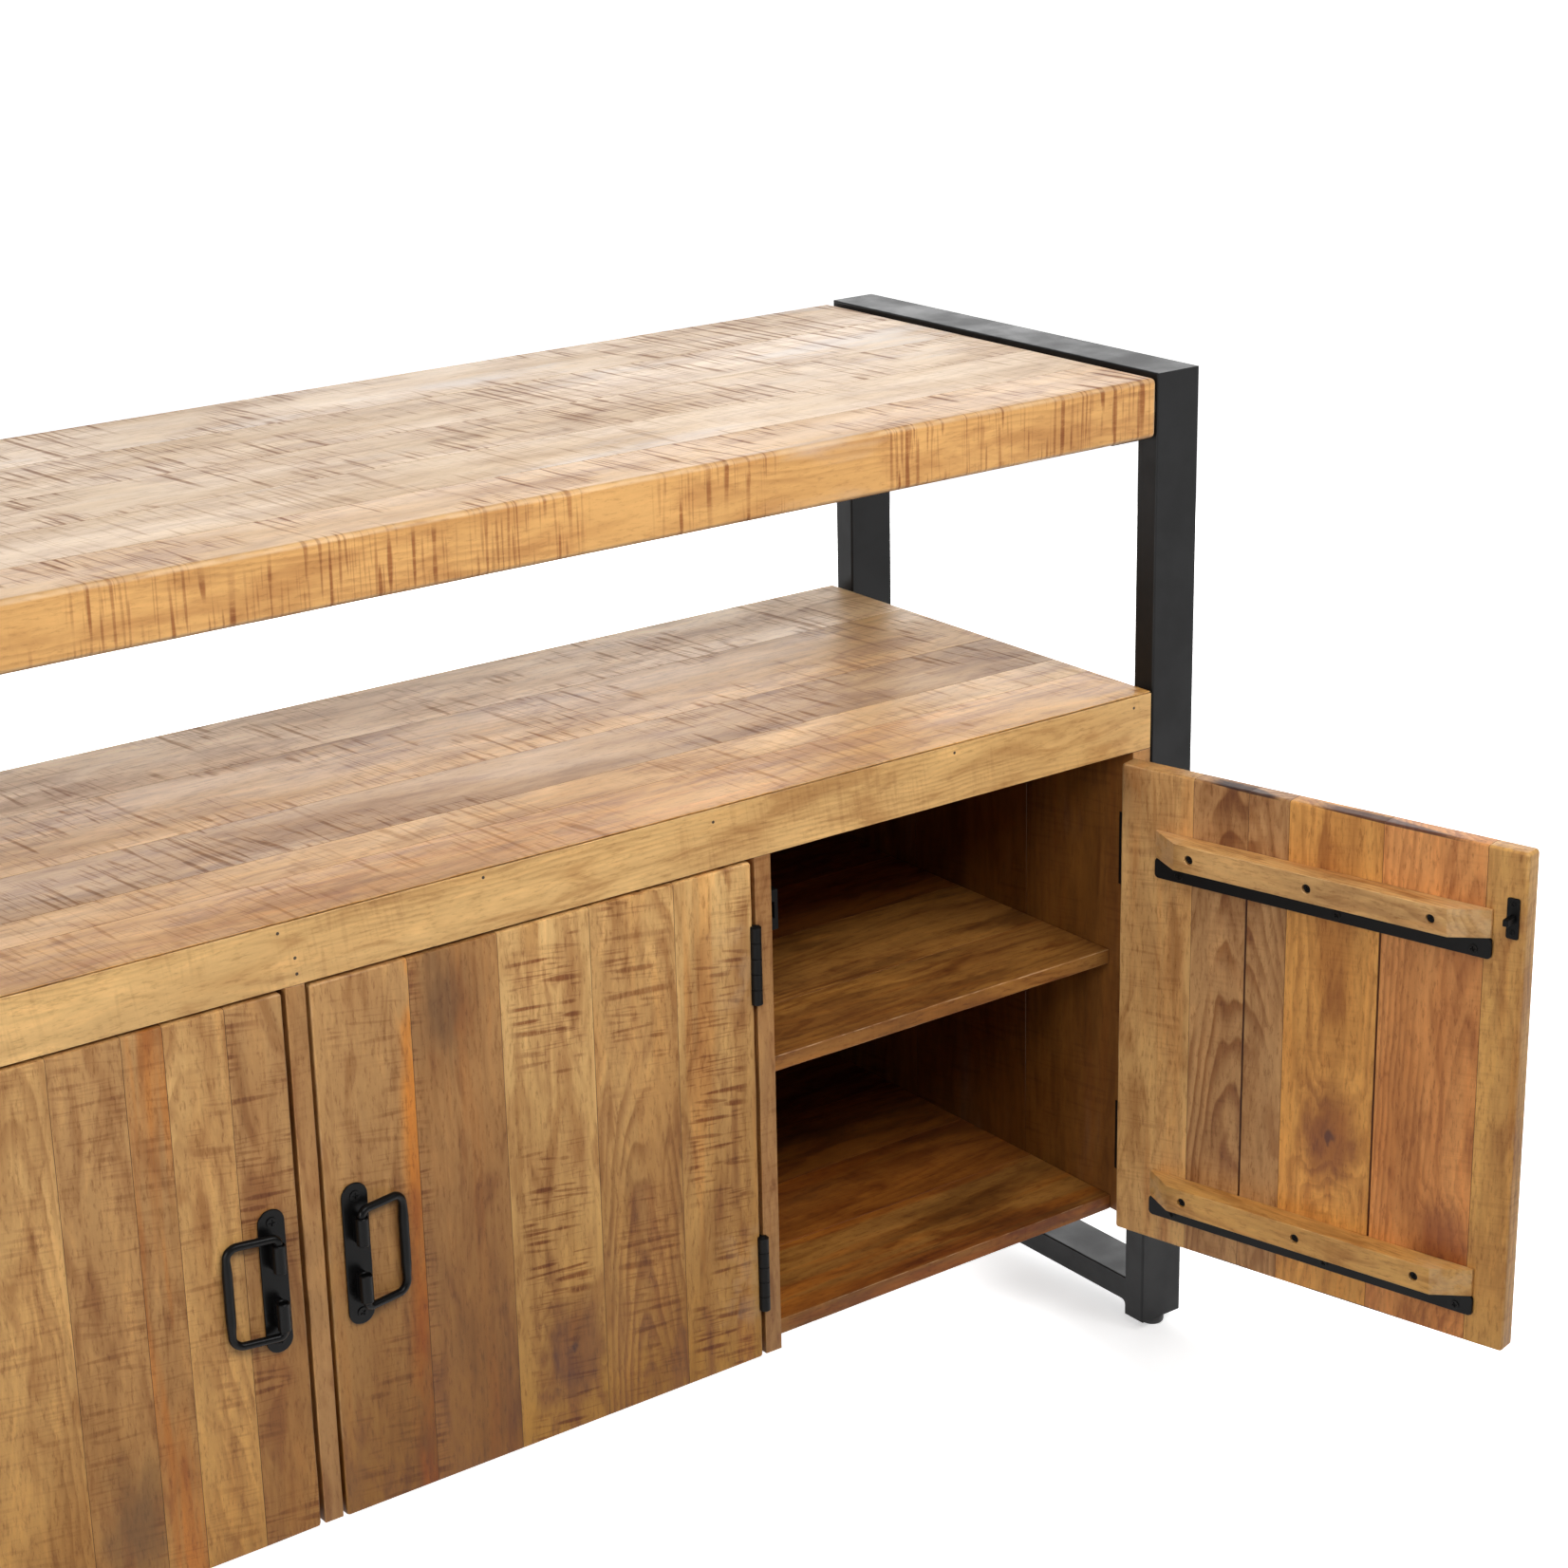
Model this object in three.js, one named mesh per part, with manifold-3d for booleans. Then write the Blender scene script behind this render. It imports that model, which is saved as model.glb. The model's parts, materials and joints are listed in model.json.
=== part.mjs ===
// Three-door sideboard: a reclaimed-wood cabinet and a thick wooden top, held between two end
// frames of rectangular steel tube. Units are millimetres, +X runs along the length to the
// right, +Y to the back, +Z up. The right door stands open, the other two are closed.
import * as THREE from 'three';
import { mergeVertices } from 'three/addons/utils/BufferGeometryUtils.js';
import Module from 'manifold-3d';

const wasm = await Module();
wasm.setup();

// ---- driving dimensions ---------------------------------------------------------------
const LENGTH = 1364;          // over both end frames
const DEPTH = 445;            // of the end frames
const HEIGHT = 900;           // floor to the upper face of the end frames
const FIT = 0.3;              // gap between pieces that touch

const TUBE = { wide: 48, thick: 24, wall: 2, corner: 1.6, fillet: 4 };
const GLIDE = { radius: 11, height: 9, lip: 2, stem: 4, stemLength: 26, stemPlay: 0.4 };
const FOOT_RAIL = { low: 23, high: 47 };

const SLAB = { low: 846, high: 897, front: -3, back: 448, endGap: 3.5, edge: 4 };
const SLAB_REST = { wide: 40, thick: 4, inset: 12, root: 1 };

const CABINET_END_GAP = 6;    // steel tube to cabinet end, bridged by welded spacers
const SPACER = { radius: 9, heights: [180, 540], root: 2 };
const FRONT = -5;             // shared front plane of fascia, dividers and closed doors
const CABINET_BACK = 445;
const TOP = { low: 604, high: 624, lap: 1 };
const FASCIA = { low: 573, thick: 20 };
const SIDE_THICK = 20;
const DIVIDER_THICK = 16;
const DIVIDER_LOW = 130;
const OUTER_BAY = 390;        // clear width of the left and right bays
const BOTTOM = { low: 129, high: 143, front: 16 };
const SHELF = { low: 368, high: 382, front: 22 };
const BACK_PANEL = { thick: 8, inset: 4 };
const BOARD_EDGE = 0.8;

const DOOR = { low: 128.5, high: 570, thick: 19, gap: 3, corner: 3, edge: 2.4 };
const OPEN_ANGLE = 104;       // degrees, of the right door as it stands
const BATTEN = { tall: 24, thick: 22, long: 317, bevel: 30, toe: 3, shift: 5, lows: [173.5, 493.5] };
const BATTEN_SCREWS = [-114, 0, 114];
const STRAP = { tall: 18.5, thick: 3, long: 319, corner: 4, screws: [-135, 19, 144], screwDrop: 12.2 };
const SCREW_HOLE = { metal: 2.3, wood: 2.7 };
const OVERCUT = 1;            // how far a cutting tool runs past the face it cuts

const HINGE = {
  tall: 67, barrel: 4.5, pin: 2, play: 0.3, leaf: 1, leafOffset: 0.2, leafDeep: 17, wall: 1.2, proud: 1.5,
  notch: 0.5,
};
const HINGE_HEIGHTS = [206, 481.5];
const KNUCKLES = 5;
const PIN_SIDES = 8;

const PLATE = { wide: 22, tall: 117, thick: 2, edge: 0.5, screwInset: 10, inset: 24, centre: 346.5 };
const EYE = { outer: 5.2, play: 0.3, webHalf: 3.5, high: [11, 34], low: [-36.5, -13.5] };
const BAIL = {
  rod: 3.2, reach: 40, top: 39.5, bottom: -41.5, bend: 9, hook: 5,
  inset: 2, standOff: 11, sides: 8, steps: 46,
};
const BAIL_CLEAR = 0.4;       // bail bar to door face when it hangs to the side

const CATCH = {
  centre: 513.5, tall: 35, inset: 11, wide: 17, deep: 28, setBack: 3, slotWide: 9, slotTall: 14, wall: 6,
};
const STRIKE = {
  wide: 11, thick: 1.2, corner: 2, tongue: 14, tongueWide: 5, tongueTall: 6, tongueRoot: 0.4,
  hole: 1.4, holes: [-12, 12],
};

// ---- derived sizes ----------------------------------------------------------------------
const HALF = LENGTH / 2;
const CABINET_HALF = HALF - TUBE.wide - CABINET_END_GAP;
const BAY_EDGE = CABINET_HALF - SIDE_THICK;          // inner face of the side panels
const INNER_DIVIDER = BAY_EDGE - OUTER_BAY;          // outer face of each divider
const MIDDLE_HALF = INNER_DIVIDER - DIVIDER_THICK;   // half the clear width of the middle bay
const DOOR_BACK = FRONT + DOOR.thick;
const PIVOT_Y = FRONT - HINGE.proud;
const PIVOT_GAP = DOOR.gap / 2;                      // pivot axis to door edge
const FASCIA_BACK = FRONT + FASCIA.thick;
const INSIDE_BACK = CABINET_BACK - BACK_PANEL.inset - BACK_PANEL.thick;

// ---- materials ----------------------------------------------------------------------------
const wood = (color) => new THREE.MeshStandardMaterial({ color, roughness: 0.6, metalness: 0 });
const steel = (color) => new THREE.MeshStandardMaterial({ color, roughness: 0.45, metalness: 0.6 });
const slabWood = () => wood(0xcaa27a);
const cabinetWood = () => wood(0xb98a58);
const fasciaWood = () => wood(0xc79c62);
const insideWood = () => wood(0x7a4a1c);
const doorWood = () => wood(0xa9793f);
const battenWood = () => wood(0xb5803f);
const frameSteel = () => steel(0x26282a);
const ironBlack = () => steel(0x1a1a1b);
const glidePlastic = () => new THREE.MeshStandardMaterial({ color: 0x0d0d0d, roughness: 0.6 });

// ---- solids -------------------------------------------------------------------------------
function solidOf(geometry) {
  const bare = geometry.clone();
  bare.deleteAttribute('normal');
  bare.deleteAttribute('uv');
  const merged = mergeVertices(bare, 1e-4);
  const mesh = new wasm.Mesh({
    numProp: 3,
    vertProperties: new Float32Array(merged.attributes.position.array),
    triVerts: new Uint32Array(merged.index.array),
  });
  mesh.merge();
  return new wasm.Manifold(mesh);
}

function geometryOf(solid) {
  const mesh = solid.getMesh();
  const geometry = new THREE.BufferGeometry();
  geometry.setAttribute('position', new THREE.BufferAttribute(mesh.vertProperties, 3));
  geometry.setIndex(new THREE.BufferAttribute(mesh.triVerts, 1));
  geometry.computeVertexNormals();
  return geometry;
}

function between(a, b) {
  return [Math.min(a, b), Math.max(a, b)];
}

function joined(geometries) {
  return geometryOf(geometries.map(solidOf).reduce((sum, next) => sum.add(next)));
}

function cut(geometry, tools) {
  return geometryOf(tools.map(solidOf).reduce((rest, tool) => rest.subtract(tool), solidOf(geometry)));
}

function box(x0, x1, y0, y1, z0, z1) {
  const geometry = new THREE.BoxGeometry(x1 - x0, y1 - y0, z1 - z0);
  return geometry.translate((x0 + x1) / 2, (y0 + y1) / 2, (z0 + z1) / 2);
}

function upright(radius, x, y, z0, z1, sides = 12) {
  const geometry = new THREE.CylinderGeometry(radius, radius, z1 - z0, sides);
  return geometry.rotateX(Math.PI / 2).translate(x, y, (z0 + z1) / 2);
}

function alongX(radius, x0, x1, y, z, sides = 10) {
  const geometry = new THREE.CylinderGeometry(radius, radius, x1 - x0, sides);
  return geometry.rotateZ(Math.PI / 2).translate((x0 + x1) / 2, y, z);
}

function alongY(radius, x, y0, y1, z, sides = 8) {
  return new THREE.CylinderGeometry(radius, radius, y1 - y0, sides).translate(x, (y0 + y1) / 2, z);
}

// Outline with its corners cut at 45 degrees.
function chamferedRectangle(x0, x1, y0, y1, c) {
  const shape = new THREE.Shape();
  shape.moveTo(x0 + c, y0);
  shape.lineTo(x1 - c, y0);
  shape.lineTo(x1, y0 + c);
  shape.lineTo(x1, y1 - c);
  shape.lineTo(x1 - c, y1);
  shape.lineTo(x0 + c, y1);
  shape.lineTo(x0, y1 - c);
  shape.lineTo(x0, y0 + c);
  shape.closePath();
  return shape;
}

function roundedRectangle(x0, x1, y0, y1, r) {
  const shape = new THREE.Shape();
  shape.absarc(x1 - r, y0 + r, r, -Math.PI / 2, 0);
  shape.absarc(x1 - r, y1 - r, r, 0, Math.PI / 2);
  shape.absarc(x0 + r, y1 - r, r, Math.PI / 2, Math.PI);
  shape.absarc(x0 + r, y0 + r, r, Math.PI, Math.PI * 1.5);
  shape.closePath();
  return shape;
}

function polygon(points) {
  return new THREE.Shape(points.map(([x, y]) => new THREE.Vector2(x, y)));
}

// Plate from an outline, with its two faces eased by edge. The outline keeps its size.
function plate(shape, thick, edge, segments = 1, curveSegments = 4) {
  return new THREE.ExtrudeGeometry(shape, {
    depth: thick - 2 * edge,
    bevelEnabled: edge > 0,
    bevelThickness: edge,
    bevelSize: edge,
    bevelOffset: -edge,
    bevelSegments: segments,
    curveSegments,
    steps: 1,
  }).translate(0, 0, edge);
}

// An outline drawn in (y, z), standing across the length from x0 to x1.
function acrossX(shape, x0, x1, edge = 0, segments = 1, curveSegments = 4) {
  const swap = new THREE.Matrix4().makeBasis(
    new THREE.Vector3(0, 1, 0), new THREE.Vector3(0, 0, 1), new THREE.Vector3(1, 0, 0));
  return plate(shape, x1 - x0, edge, segments, curveSegments).applyMatrix4(swap).translate(x0, 0, 0);
}

// An outline drawn in (x, z), standing across the depth from y0 to y1.
function acrossY(shape, y0, y1, edge = 0, segments = 1, curveSegments = 4) {
  return plate(shape, y1 - y0, edge, segments, curveSegments).rotateX(Math.PI / 2).translate(0, y1, 0);
}

// A board with all its arrises eased.
function board(x0, x1, y0, y1, z0, z1, edge = BOARD_EDGE) {
  return plate(chamferedRectangle(x0, x1, y0, y1, edge), z1 - z0, edge).translate(0, 0, z0);
}

function piece(name, geometry, material) {
  const mesh = new THREE.Mesh(geometry, material);
  mesh.name = name;
  return mesh;
}

// ---- end frames ---------------------------------------------------------------------------
// side is +1 for the right frame and -1 for the left one.
function endFrame(side) {
  const t = TUBE.thick;
  const outline = polygon([
    [0, GLIDE.height],
    [t, GLIDE.height],
    [t, FOOT_RAIL.low - TUBE.fillet],
    [t + TUBE.fillet, FOOT_RAIL.low],
    [DEPTH - t - TUBE.fillet, FOOT_RAIL.low],
    [DEPTH - t, FOOT_RAIL.low - TUBE.fillet],
    [DEPTH - t, GLIDE.height],
    [DEPTH, GLIDE.height],
    [DEPTH, HEIGHT],
    [0, HEIGHT],
  ]);
  outline.holes.push(new THREE.Path([
    new THREE.Vector2(t, FOOT_RAIL.high),
    new THREE.Vector2(t, HEIGHT - t),
    new THREE.Vector2(DEPTH - t, HEIGHT - t),
    new THREE.Vector2(DEPTH - t, FOOT_RAIL.high),
  ]));
  const inner = side * (HALF - TUBE.wide);
  const outer = side * HALF;
  const [x0, x1] = between(inner, outer);
  const loop = acrossX(outline, x0, x1, TUBE.corner);
  const spacer = (gap, y, z) => {
    const tip = inner - side * (gap - FIT);
    const root = inner + side * SPACER.root;
    return alongX(SPACER.radius, ...between(tip, root), y, z);
  };
  const added = [];
  for (const y of [t / 2, DEPTH - t / 2]) {
    added.push(spacer(SLAB.endGap, y, (SLAB.low + SLAB.high) / 2));
    SPACER.heights.forEach((z) => added.push(spacer(CABINET_END_GAP, y, z)));
  }
  const restEnd = inner - side * SLAB_REST.wide;
  const restRoot = inner + side * SLAB_REST.root;
  added.push(box(...between(restEnd, restRoot),
    SLAB_REST.inset, DEPTH - SLAB_REST.inset, SLAB.low - FIT - SLAB_REST.thick, SLAB.low - FIT));

  // The tubes are hollow and open into each other, and out through the bores for the feet.
  const w = TUBE.wall;
  const hollow = (y0, y1, z0, z1) => box(x0 + w, x1 - w, y0 + w, y1 - w, z0 + w, z1 - w);
  const hollows = [
    hollow(0, t, GLIDE.height, HEIGHT),
    hollow(DEPTH - t, DEPTH, GLIDE.height, HEIGHT),
    hollow(0, DEPTH, HEIGHT - t, HEIGHT),
    hollow(0, DEPTH, FOOT_RAIL.low, FOOT_RAIL.high),
  ];
  const bores = [t / 2, DEPTH - t / 2].map((y) => upright(
    GLIDE.stem + GLIDE.stemPlay, glideX(side), y, GLIDE.height - OVERCUT, GLIDE.height + w + OVERCUT));
  return cut(joined([loop, ...added]), [...hollows, ...bores]);
}

function glideX(side) {
  return side * (HALF - TUBE.wide / 2);
}

// Round foot on a stem that stands in the post's bore.
function glide() {
  const { radius, height, lip, stem, stemLength } = GLIDE;
  const profile = [
    [0, 0],
    [radius - lip, 0],
    [radius, lip],
    [radius, height - FIT - lip / 2],
    [radius - lip / 2, height - FIT],
    [stem, height - FIT],
    [stem, height - FIT + stemLength],
    [0, height - FIT + stemLength],
  ].map(([r, z]) => new THREE.Vector2(r, z));
  return new THREE.LatheGeometry(profile, 16).rotateX(Math.PI / 2);
}

// ---- tabletop and cabinet -----------------------------------------------------------------
function tabletop() {
  const half = HALF - TUBE.wide - SLAB.endGap;
  const outline = roundedRectangle(SLAB.front, SLAB.back, SLAB.low, SLAB.high, SLAB.edge);
  return acrossX(outline, -half, half, SLAB.edge - 1, 2, 2);
}

// The top panel meets the fascia in a mitre at the front arris.
function cabinetTop() {
  const outline = polygon([
    [FASCIA_BACK + FIT, TOP.low],
    [CABINET_BACK, TOP.low],
    [CABINET_BACK, TOP.high],
    [FRONT + TOP.lap + FIT, TOP.high],
    [FRONT + TOP.lap + FIT, TOP.high - TOP.lap],
  ]);
  return acrossX(outline, -CABINET_HALF, CABINET_HALF);
}

function fascia() {
  const outline = polygon([
    [FRONT, FASCIA.low],
    [FASCIA_BACK, FASCIA.low],
    [FASCIA_BACK, TOP.low - FIT],
    [FRONT + TOP.lap, TOP.high - TOP.lap - FIT],
    [FRONT, TOP.high - TOP.lap - FIT],
  ]);
  return acrossX(outline, -CABINET_HALF, CABINET_HALF);
}

// Upright panel, notched at its top front corner for the fascia.
function uprightPanel(x0, x1, low, bottomNotch) {
  const points = [
    [FRONT, low],
    [bottomNotch ? BOTTOM.front - FIT : CABINET_BACK, low],
  ];
  if (bottomNotch) {
    points.push([BOTTOM.front - FIT, BOTTOM.high + FIT]);
    points.push([INSIDE_BACK - FIT, BOTTOM.high + FIT]);
    points.push([INSIDE_BACK - FIT, TOP.low - FIT]);
  } else {
    points.push([CABINET_BACK, TOP.low - FIT]);
  }
  points.push([FASCIA_BACK + FIT, TOP.low - FIT]);
  points.push([FASCIA_BACK + FIT, FASCIA.low - FIT]);
  points.push([FRONT, FASCIA.low - FIT]);
  return acrossX(polygon(points), x0, x1);
}

// Round notches for the hinge barrels about one pivot axis.
function barrelNotches(x, y) {
  const half = HINGE.tall / 2 + HINGE.notch;
  return HINGE_HEIGHTS.map((z) => upright(HINGE.barrel + HINGE.notch, x, y, z - half, z + half));
}

function cabinetPieces() {
  const inside = BAY_EDGE - FIT;
  const dividers = [[-INNER_DIVIDER, -MIDDLE_HALF], [MIDDLE_HALF, INNER_DIVIDER]];
  const bays = [[-BAY_EDGE, -INNER_DIVIDER], [-MIDDLE_HALF, MIDDLE_HALF], [INNER_DIVIDER, BAY_EDGE]];
  const names = ['left', 'middle', 'right'];
  const [leftPivot, middlePivot, rightPivot] = [
    -BAY_EDGE + PIVOT_GAP, MIDDLE_HALF - PIVOT_GAP, BAY_EDGE - PIVOT_GAP];
  const meshes = [
    piece('cabinet_top', cabinetTop(), cabinetWood()),
    piece('front_fascia', fascia(), fasciaWood()),
    piece('side_panel_left',
      cut(uprightPanel(-CABINET_HALF, -BAY_EDGE, BOTTOM.low, false), barrelNotches(leftPivot, PIVOT_Y)),
      cabinetWood()),
    piece('side_panel_right',
      cut(uprightPanel(BAY_EDGE, CABINET_HALF, BOTTOM.low, false), barrelNotches(rightPivot, PIVOT_Y)),
      cabinetWood()),
    piece('divider_left', uprightPanel(...dividers[0], DIVIDER_LOW, true), cabinetWood()),
    piece('divider_right',
      cut(uprightPanel(...dividers[1], DIVIDER_LOW, true), barrelNotches(middlePivot, PIVOT_Y)),
      cabinetWood()),
    piece('bottom_panel',
      board(-inside, inside, BOTTOM.front, INSIDE_BACK - FIT, BOTTOM.low, BOTTOM.high), insideWood()),
    piece('back_panel', board(-inside, inside, INSIDE_BACK, INSIDE_BACK + BACK_PANEL.thick,
      BOTTOM.low, TOP.low - FIT), insideWood()),
  ];
  bays.forEach(([x0, x1], i) => meshes.push(piece(`shelf_${names[i]}`,
    board(x0 + FIT, x1 - FIT, SHELF.front, INSIDE_BACK - FIT, SHELF.low, SHELF.high), insideWood())));
  return meshes;
}

// ---- doors ----------------------------------------------------------------------------------
// Door pieces are drawn about the hinge axis: s * x grows towards the free edge, y runs from
// the outer face to the inner one, and s is -1 for a door whose free edge points to -X.
const OUTER_Y = FRONT - PIVOT_Y;
const INNER_Y = OUTER_Y + DOOR.thick;

function doorPanel(s, width) {
  const [x0, x1] = between(s * PIVOT_GAP, s * (PIVOT_GAP + width));
  const outline = roundedRectangle(x0, x1, DOOR.low, DOOR.high, DOOR.corner);
  const slabOfWood = acrossY(outline, OUTER_Y, INNER_Y, DOOR.edge, 2, 2);
  return cut(slabOfWood, barrelNotches(0, 0));
}

function batten(s, width, low) {
  const centre = s * (PIVOT_GAP + width / 2 + BATTEN.shift);
  const half = BATTEN.long / 2;
  const near = INNER_Y + FIT;
  const far = near + BATTEN.thick;
  const outline = polygon([
    [centre - half, near],
    [centre + half, near],
    [centre + half, near + BATTEN.toe],
    [centre + half - BATTEN.bevel, far],
    [centre - half + BATTEN.bevel, far],
    [centre - half, near + BATTEN.toe],
  ]);
  const bar = plate(outline, BATTEN.tall, BOARD_EDGE).translate(0, 0, low);
  const holes = BATTEN_SCREWS.map((x) => alongY(
    SCREW_HOLE.wood, centre + x, near - OVERCUT, far + OVERCUT, low + BATTEN.tall / 2));
  return cut(bar, holes);
}

function strap(s, width, battenLow) {
  const centre = s * (PIVOT_GAP + width / 2 + BATTEN.shift);
  const high = battenLow - FIT;
  const near = INNER_Y + FIT;
  const outline = roundedRectangle(
    centre - STRAP.long / 2, centre + STRAP.long / 2, high - STRAP.tall, high, STRAP.corner);
  const bar = acrossY(outline, near, near + STRAP.thick, 0, 1, 3);
  const holes = STRAP.screws.map((x) => alongY(
    SCREW_HOLE.metal, centre + s * x,
    near - OVERCUT, near + STRAP.thick + OVERCUT, high - STRAP.screwDrop));
  return cut(bar, holes);
}

// Backing plate with two eyes that hold the bail.
function handlePlate(centreX) {
  const back = OUTER_Y - FIT;
  const face = back - PLATE.thick;
  const axisY = OUTER_Y - BAIL.standOff;
  const outline = roundedRectangle(centreX - PLATE.wide / 2, centreX + PLATE.wide / 2,
    PLATE.centre - PLATE.tall / 2, PLATE.centre + PLATE.tall / 2, PLATE.wide / 2 - PLATE.edge);
  const solids = [acrossY(outline, face, back, PLATE.edge, 1, 6)];
  const bores = [];
  for (const [low, high] of [EYE.low, EYE.high]) {
    const [z0, z1] = [PLATE.centre + low, PLATE.centre + high];
    solids.push(upright(EYE.outer, centreX, axisY, z0, z1));
    solids.push(box(centreX - EYE.webHalf, centreX + EYE.webHalf, axisY, face + PLATE.edge, z0, z1));
    bores.push(upright(BAIL.rod + EYE.play, centreX, axisY, z0 - OVERCUT, z1 + OVERCUT));
  }
  for (const end of [-1, 1]) {
    const z = PLATE.centre + end * (PLATE.tall / 2 - PLATE.screwInset);
    bores.push(alongY(SCREW_HOLE.metal, centreX, face - OVERCUT, back + OVERCUT, z));
  }
  return cut(joined(solids), bores);
}

// Corner of the bail's centre line: points of an arc from one leg to the next.
function bendPoints(corner, from, to, radius, count = 5) {
  const a = corner.clone().addScaledVector(from, -radius);
  const b = corner.clone().addScaledVector(to, radius);
  const centre = a.clone().addScaledVector(to, radius);
  const points = [];
  for (let i = 0; i <= count; i += 1) {
    const turn = (Math.PI / 2) * (i / count);
    const p = centre.clone().addScaledVector(from, radius * Math.sin(turn));
    points.push(p.addScaledVector(to, -radius * Math.cos(turn)));
  }
  points[0].copy(a);
  points[count].copy(b);
  return points;
}

// D-shaped rod: two hooks that stand in the eyes, two arms and the grip bar. It is drawn
// about its own axis, reaching along direction dir (+1 or -1 along X).
function bail(dir) {
  const out = new THREE.Vector3(dir, 0, 0);
  const up = new THREE.Vector3(0, 0, 1);
  const down = up.clone().negate();
  const back = out.clone().negate();
  const at = (reach, z) => new THREE.Vector3(dir * reach, 0, PLATE.centre + z);
  const points = [
    at(0, EYE.high[0] + BAIL.inset),
    at(0, (EYE.high[0] + EYE.high[1]) / 2),
    ...bendPoints(at(0, BAIL.top), up, out, BAIL.hook),
    at(BAIL.reach / 2, BAIL.top),
    ...bendPoints(at(BAIL.reach, BAIL.top), out, down, BAIL.bend),
    at(BAIL.reach, 0),
    ...bendPoints(at(BAIL.reach, BAIL.bottom), down, back, BAIL.bend),
    at(BAIL.reach / 2, BAIL.bottom),
    ...bendPoints(at(0, BAIL.bottom), back, up, BAIL.hook),
    at(0, (EYE.low[0] + EYE.low[1]) / 2),
    at(0, EYE.low[1] - BAIL.inset),
  ];
  const path = new THREE.CatmullRomCurve3(points, false, 'centripetal');
  const section = polygon(Array.from({ length: BAIL.sides }, (_, i) => {
    const turn = (2 * Math.PI * i) / BAIL.sides;
    return [BAIL.rod * Math.cos(turn), BAIL.rod * Math.sin(turn)];
  }));
  return new THREE.ExtrudeGeometry(section, { extrudePath: path, steps: BAIL.steps });
}

// One half of a butt hinge. leafSide is the side of the hinge axis that its leaf lies on,
// and the half with the pin carries the odd knuckles.
function hingeLeaf(leafSide, z, withPin) {
  const low = z - HINGE.tall / 2;
  const knuckle = HINGE.tall / KNUCKLES;
  const [x0, x1] = between(leafSide * HINGE.leafOffset, leafSide * (HINGE.leafOffset + HINGE.leaf));
  const edge = HINGE.barrel + HINGE.notch;
  const solids = [box(x0, x1, edge, HINGE.leafDeep, low, low + HINGE.tall)];
  for (let i = 0; i < KNUCKLES; i += 1) {
    if ((i % 2 === 0) !== withPin) continue;
    const z0 = low + i * knuckle + FIT / 2;
    const z1 = low + (i + 1) * knuckle - FIT / 2;
    solids.push(upright(HINGE.barrel, 0, 0, z0, z1));
    solids.push(box(x0, x1, HINGE.pin + HINGE.wall, edge + HINGE.notch, z0, z1));
  }
  if (withPin) {
    solids.push(upright(HINGE.pin, 0, 0, low + HINGE.wall, low + HINGE.tall - HINGE.wall, PIN_SIDES));
    return joined(solids);
  }
  const bore = upright(HINGE.pin + HINGE.play, 0, 0, low - OVERCUT, low + HINGE.tall + OVERCUT, PIN_SIDES);
  return cut(joined(solids), [bore]);
}

// Plate near the door's free edge, whose tongue enters the catch.
function strike(s, width) {
  const x = s * (PIVOT_GAP + width - CATCH.inset);
  const near = INNER_Y + FIT;
  const outline = roundedRectangle(x - STRIKE.wide / 2, x + STRIKE.wide / 2,
    CATCH.centre - CATCH.tall / 2, CATCH.centre + CATCH.tall / 2, STRIKE.corner);
  const tongue = box(x - STRIKE.tongueWide / 2, x + STRIKE.tongueWide / 2, near + STRIKE.tongueRoot,
    near + STRIKE.tongue, CATCH.centre - STRIKE.tongueTall / 2, CATCH.centre + STRIKE.tongueTall / 2);
  const base = acrossY(outline, near, near + STRIKE.thick, 0, 1, 2);
  const holes = STRIKE.holes.map((z) => alongY(
    STRIKE.hole, x, near - OVERCUT, near + STRIKE.thick + OVERCUT, CATCH.centre + z));
  return cut(joined([base, tongue]), holes);
}

// Clip of the door catch, on the divider beside a door's free edge.
function rollerCatch(faceX, s) {
  const toCentre = DOOR.gap + CATCH.inset;
  const x = faceX - s * toCentre;
  const [x0, x1] = between(faceX - s * FIT, x - s * (CATCH.wide / 2));
  const front = DOOR_BACK + CATCH.setBack;
  const back = front + CATCH.deep;
  const body = box(x0, x1, front, back, CATCH.centre - CATCH.tall / 2, CATCH.centre + CATCH.tall / 2);
  const slot = box(x - CATCH.slotWide / 2, x + CATCH.slotWide / 2, front - OVERCUT, back - CATCH.wall,
    CATCH.centre - CATCH.slotTall / 2, CATCH.centre + CATCH.slotTall / 2);
  return cut(body, [slot]);
}

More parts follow.
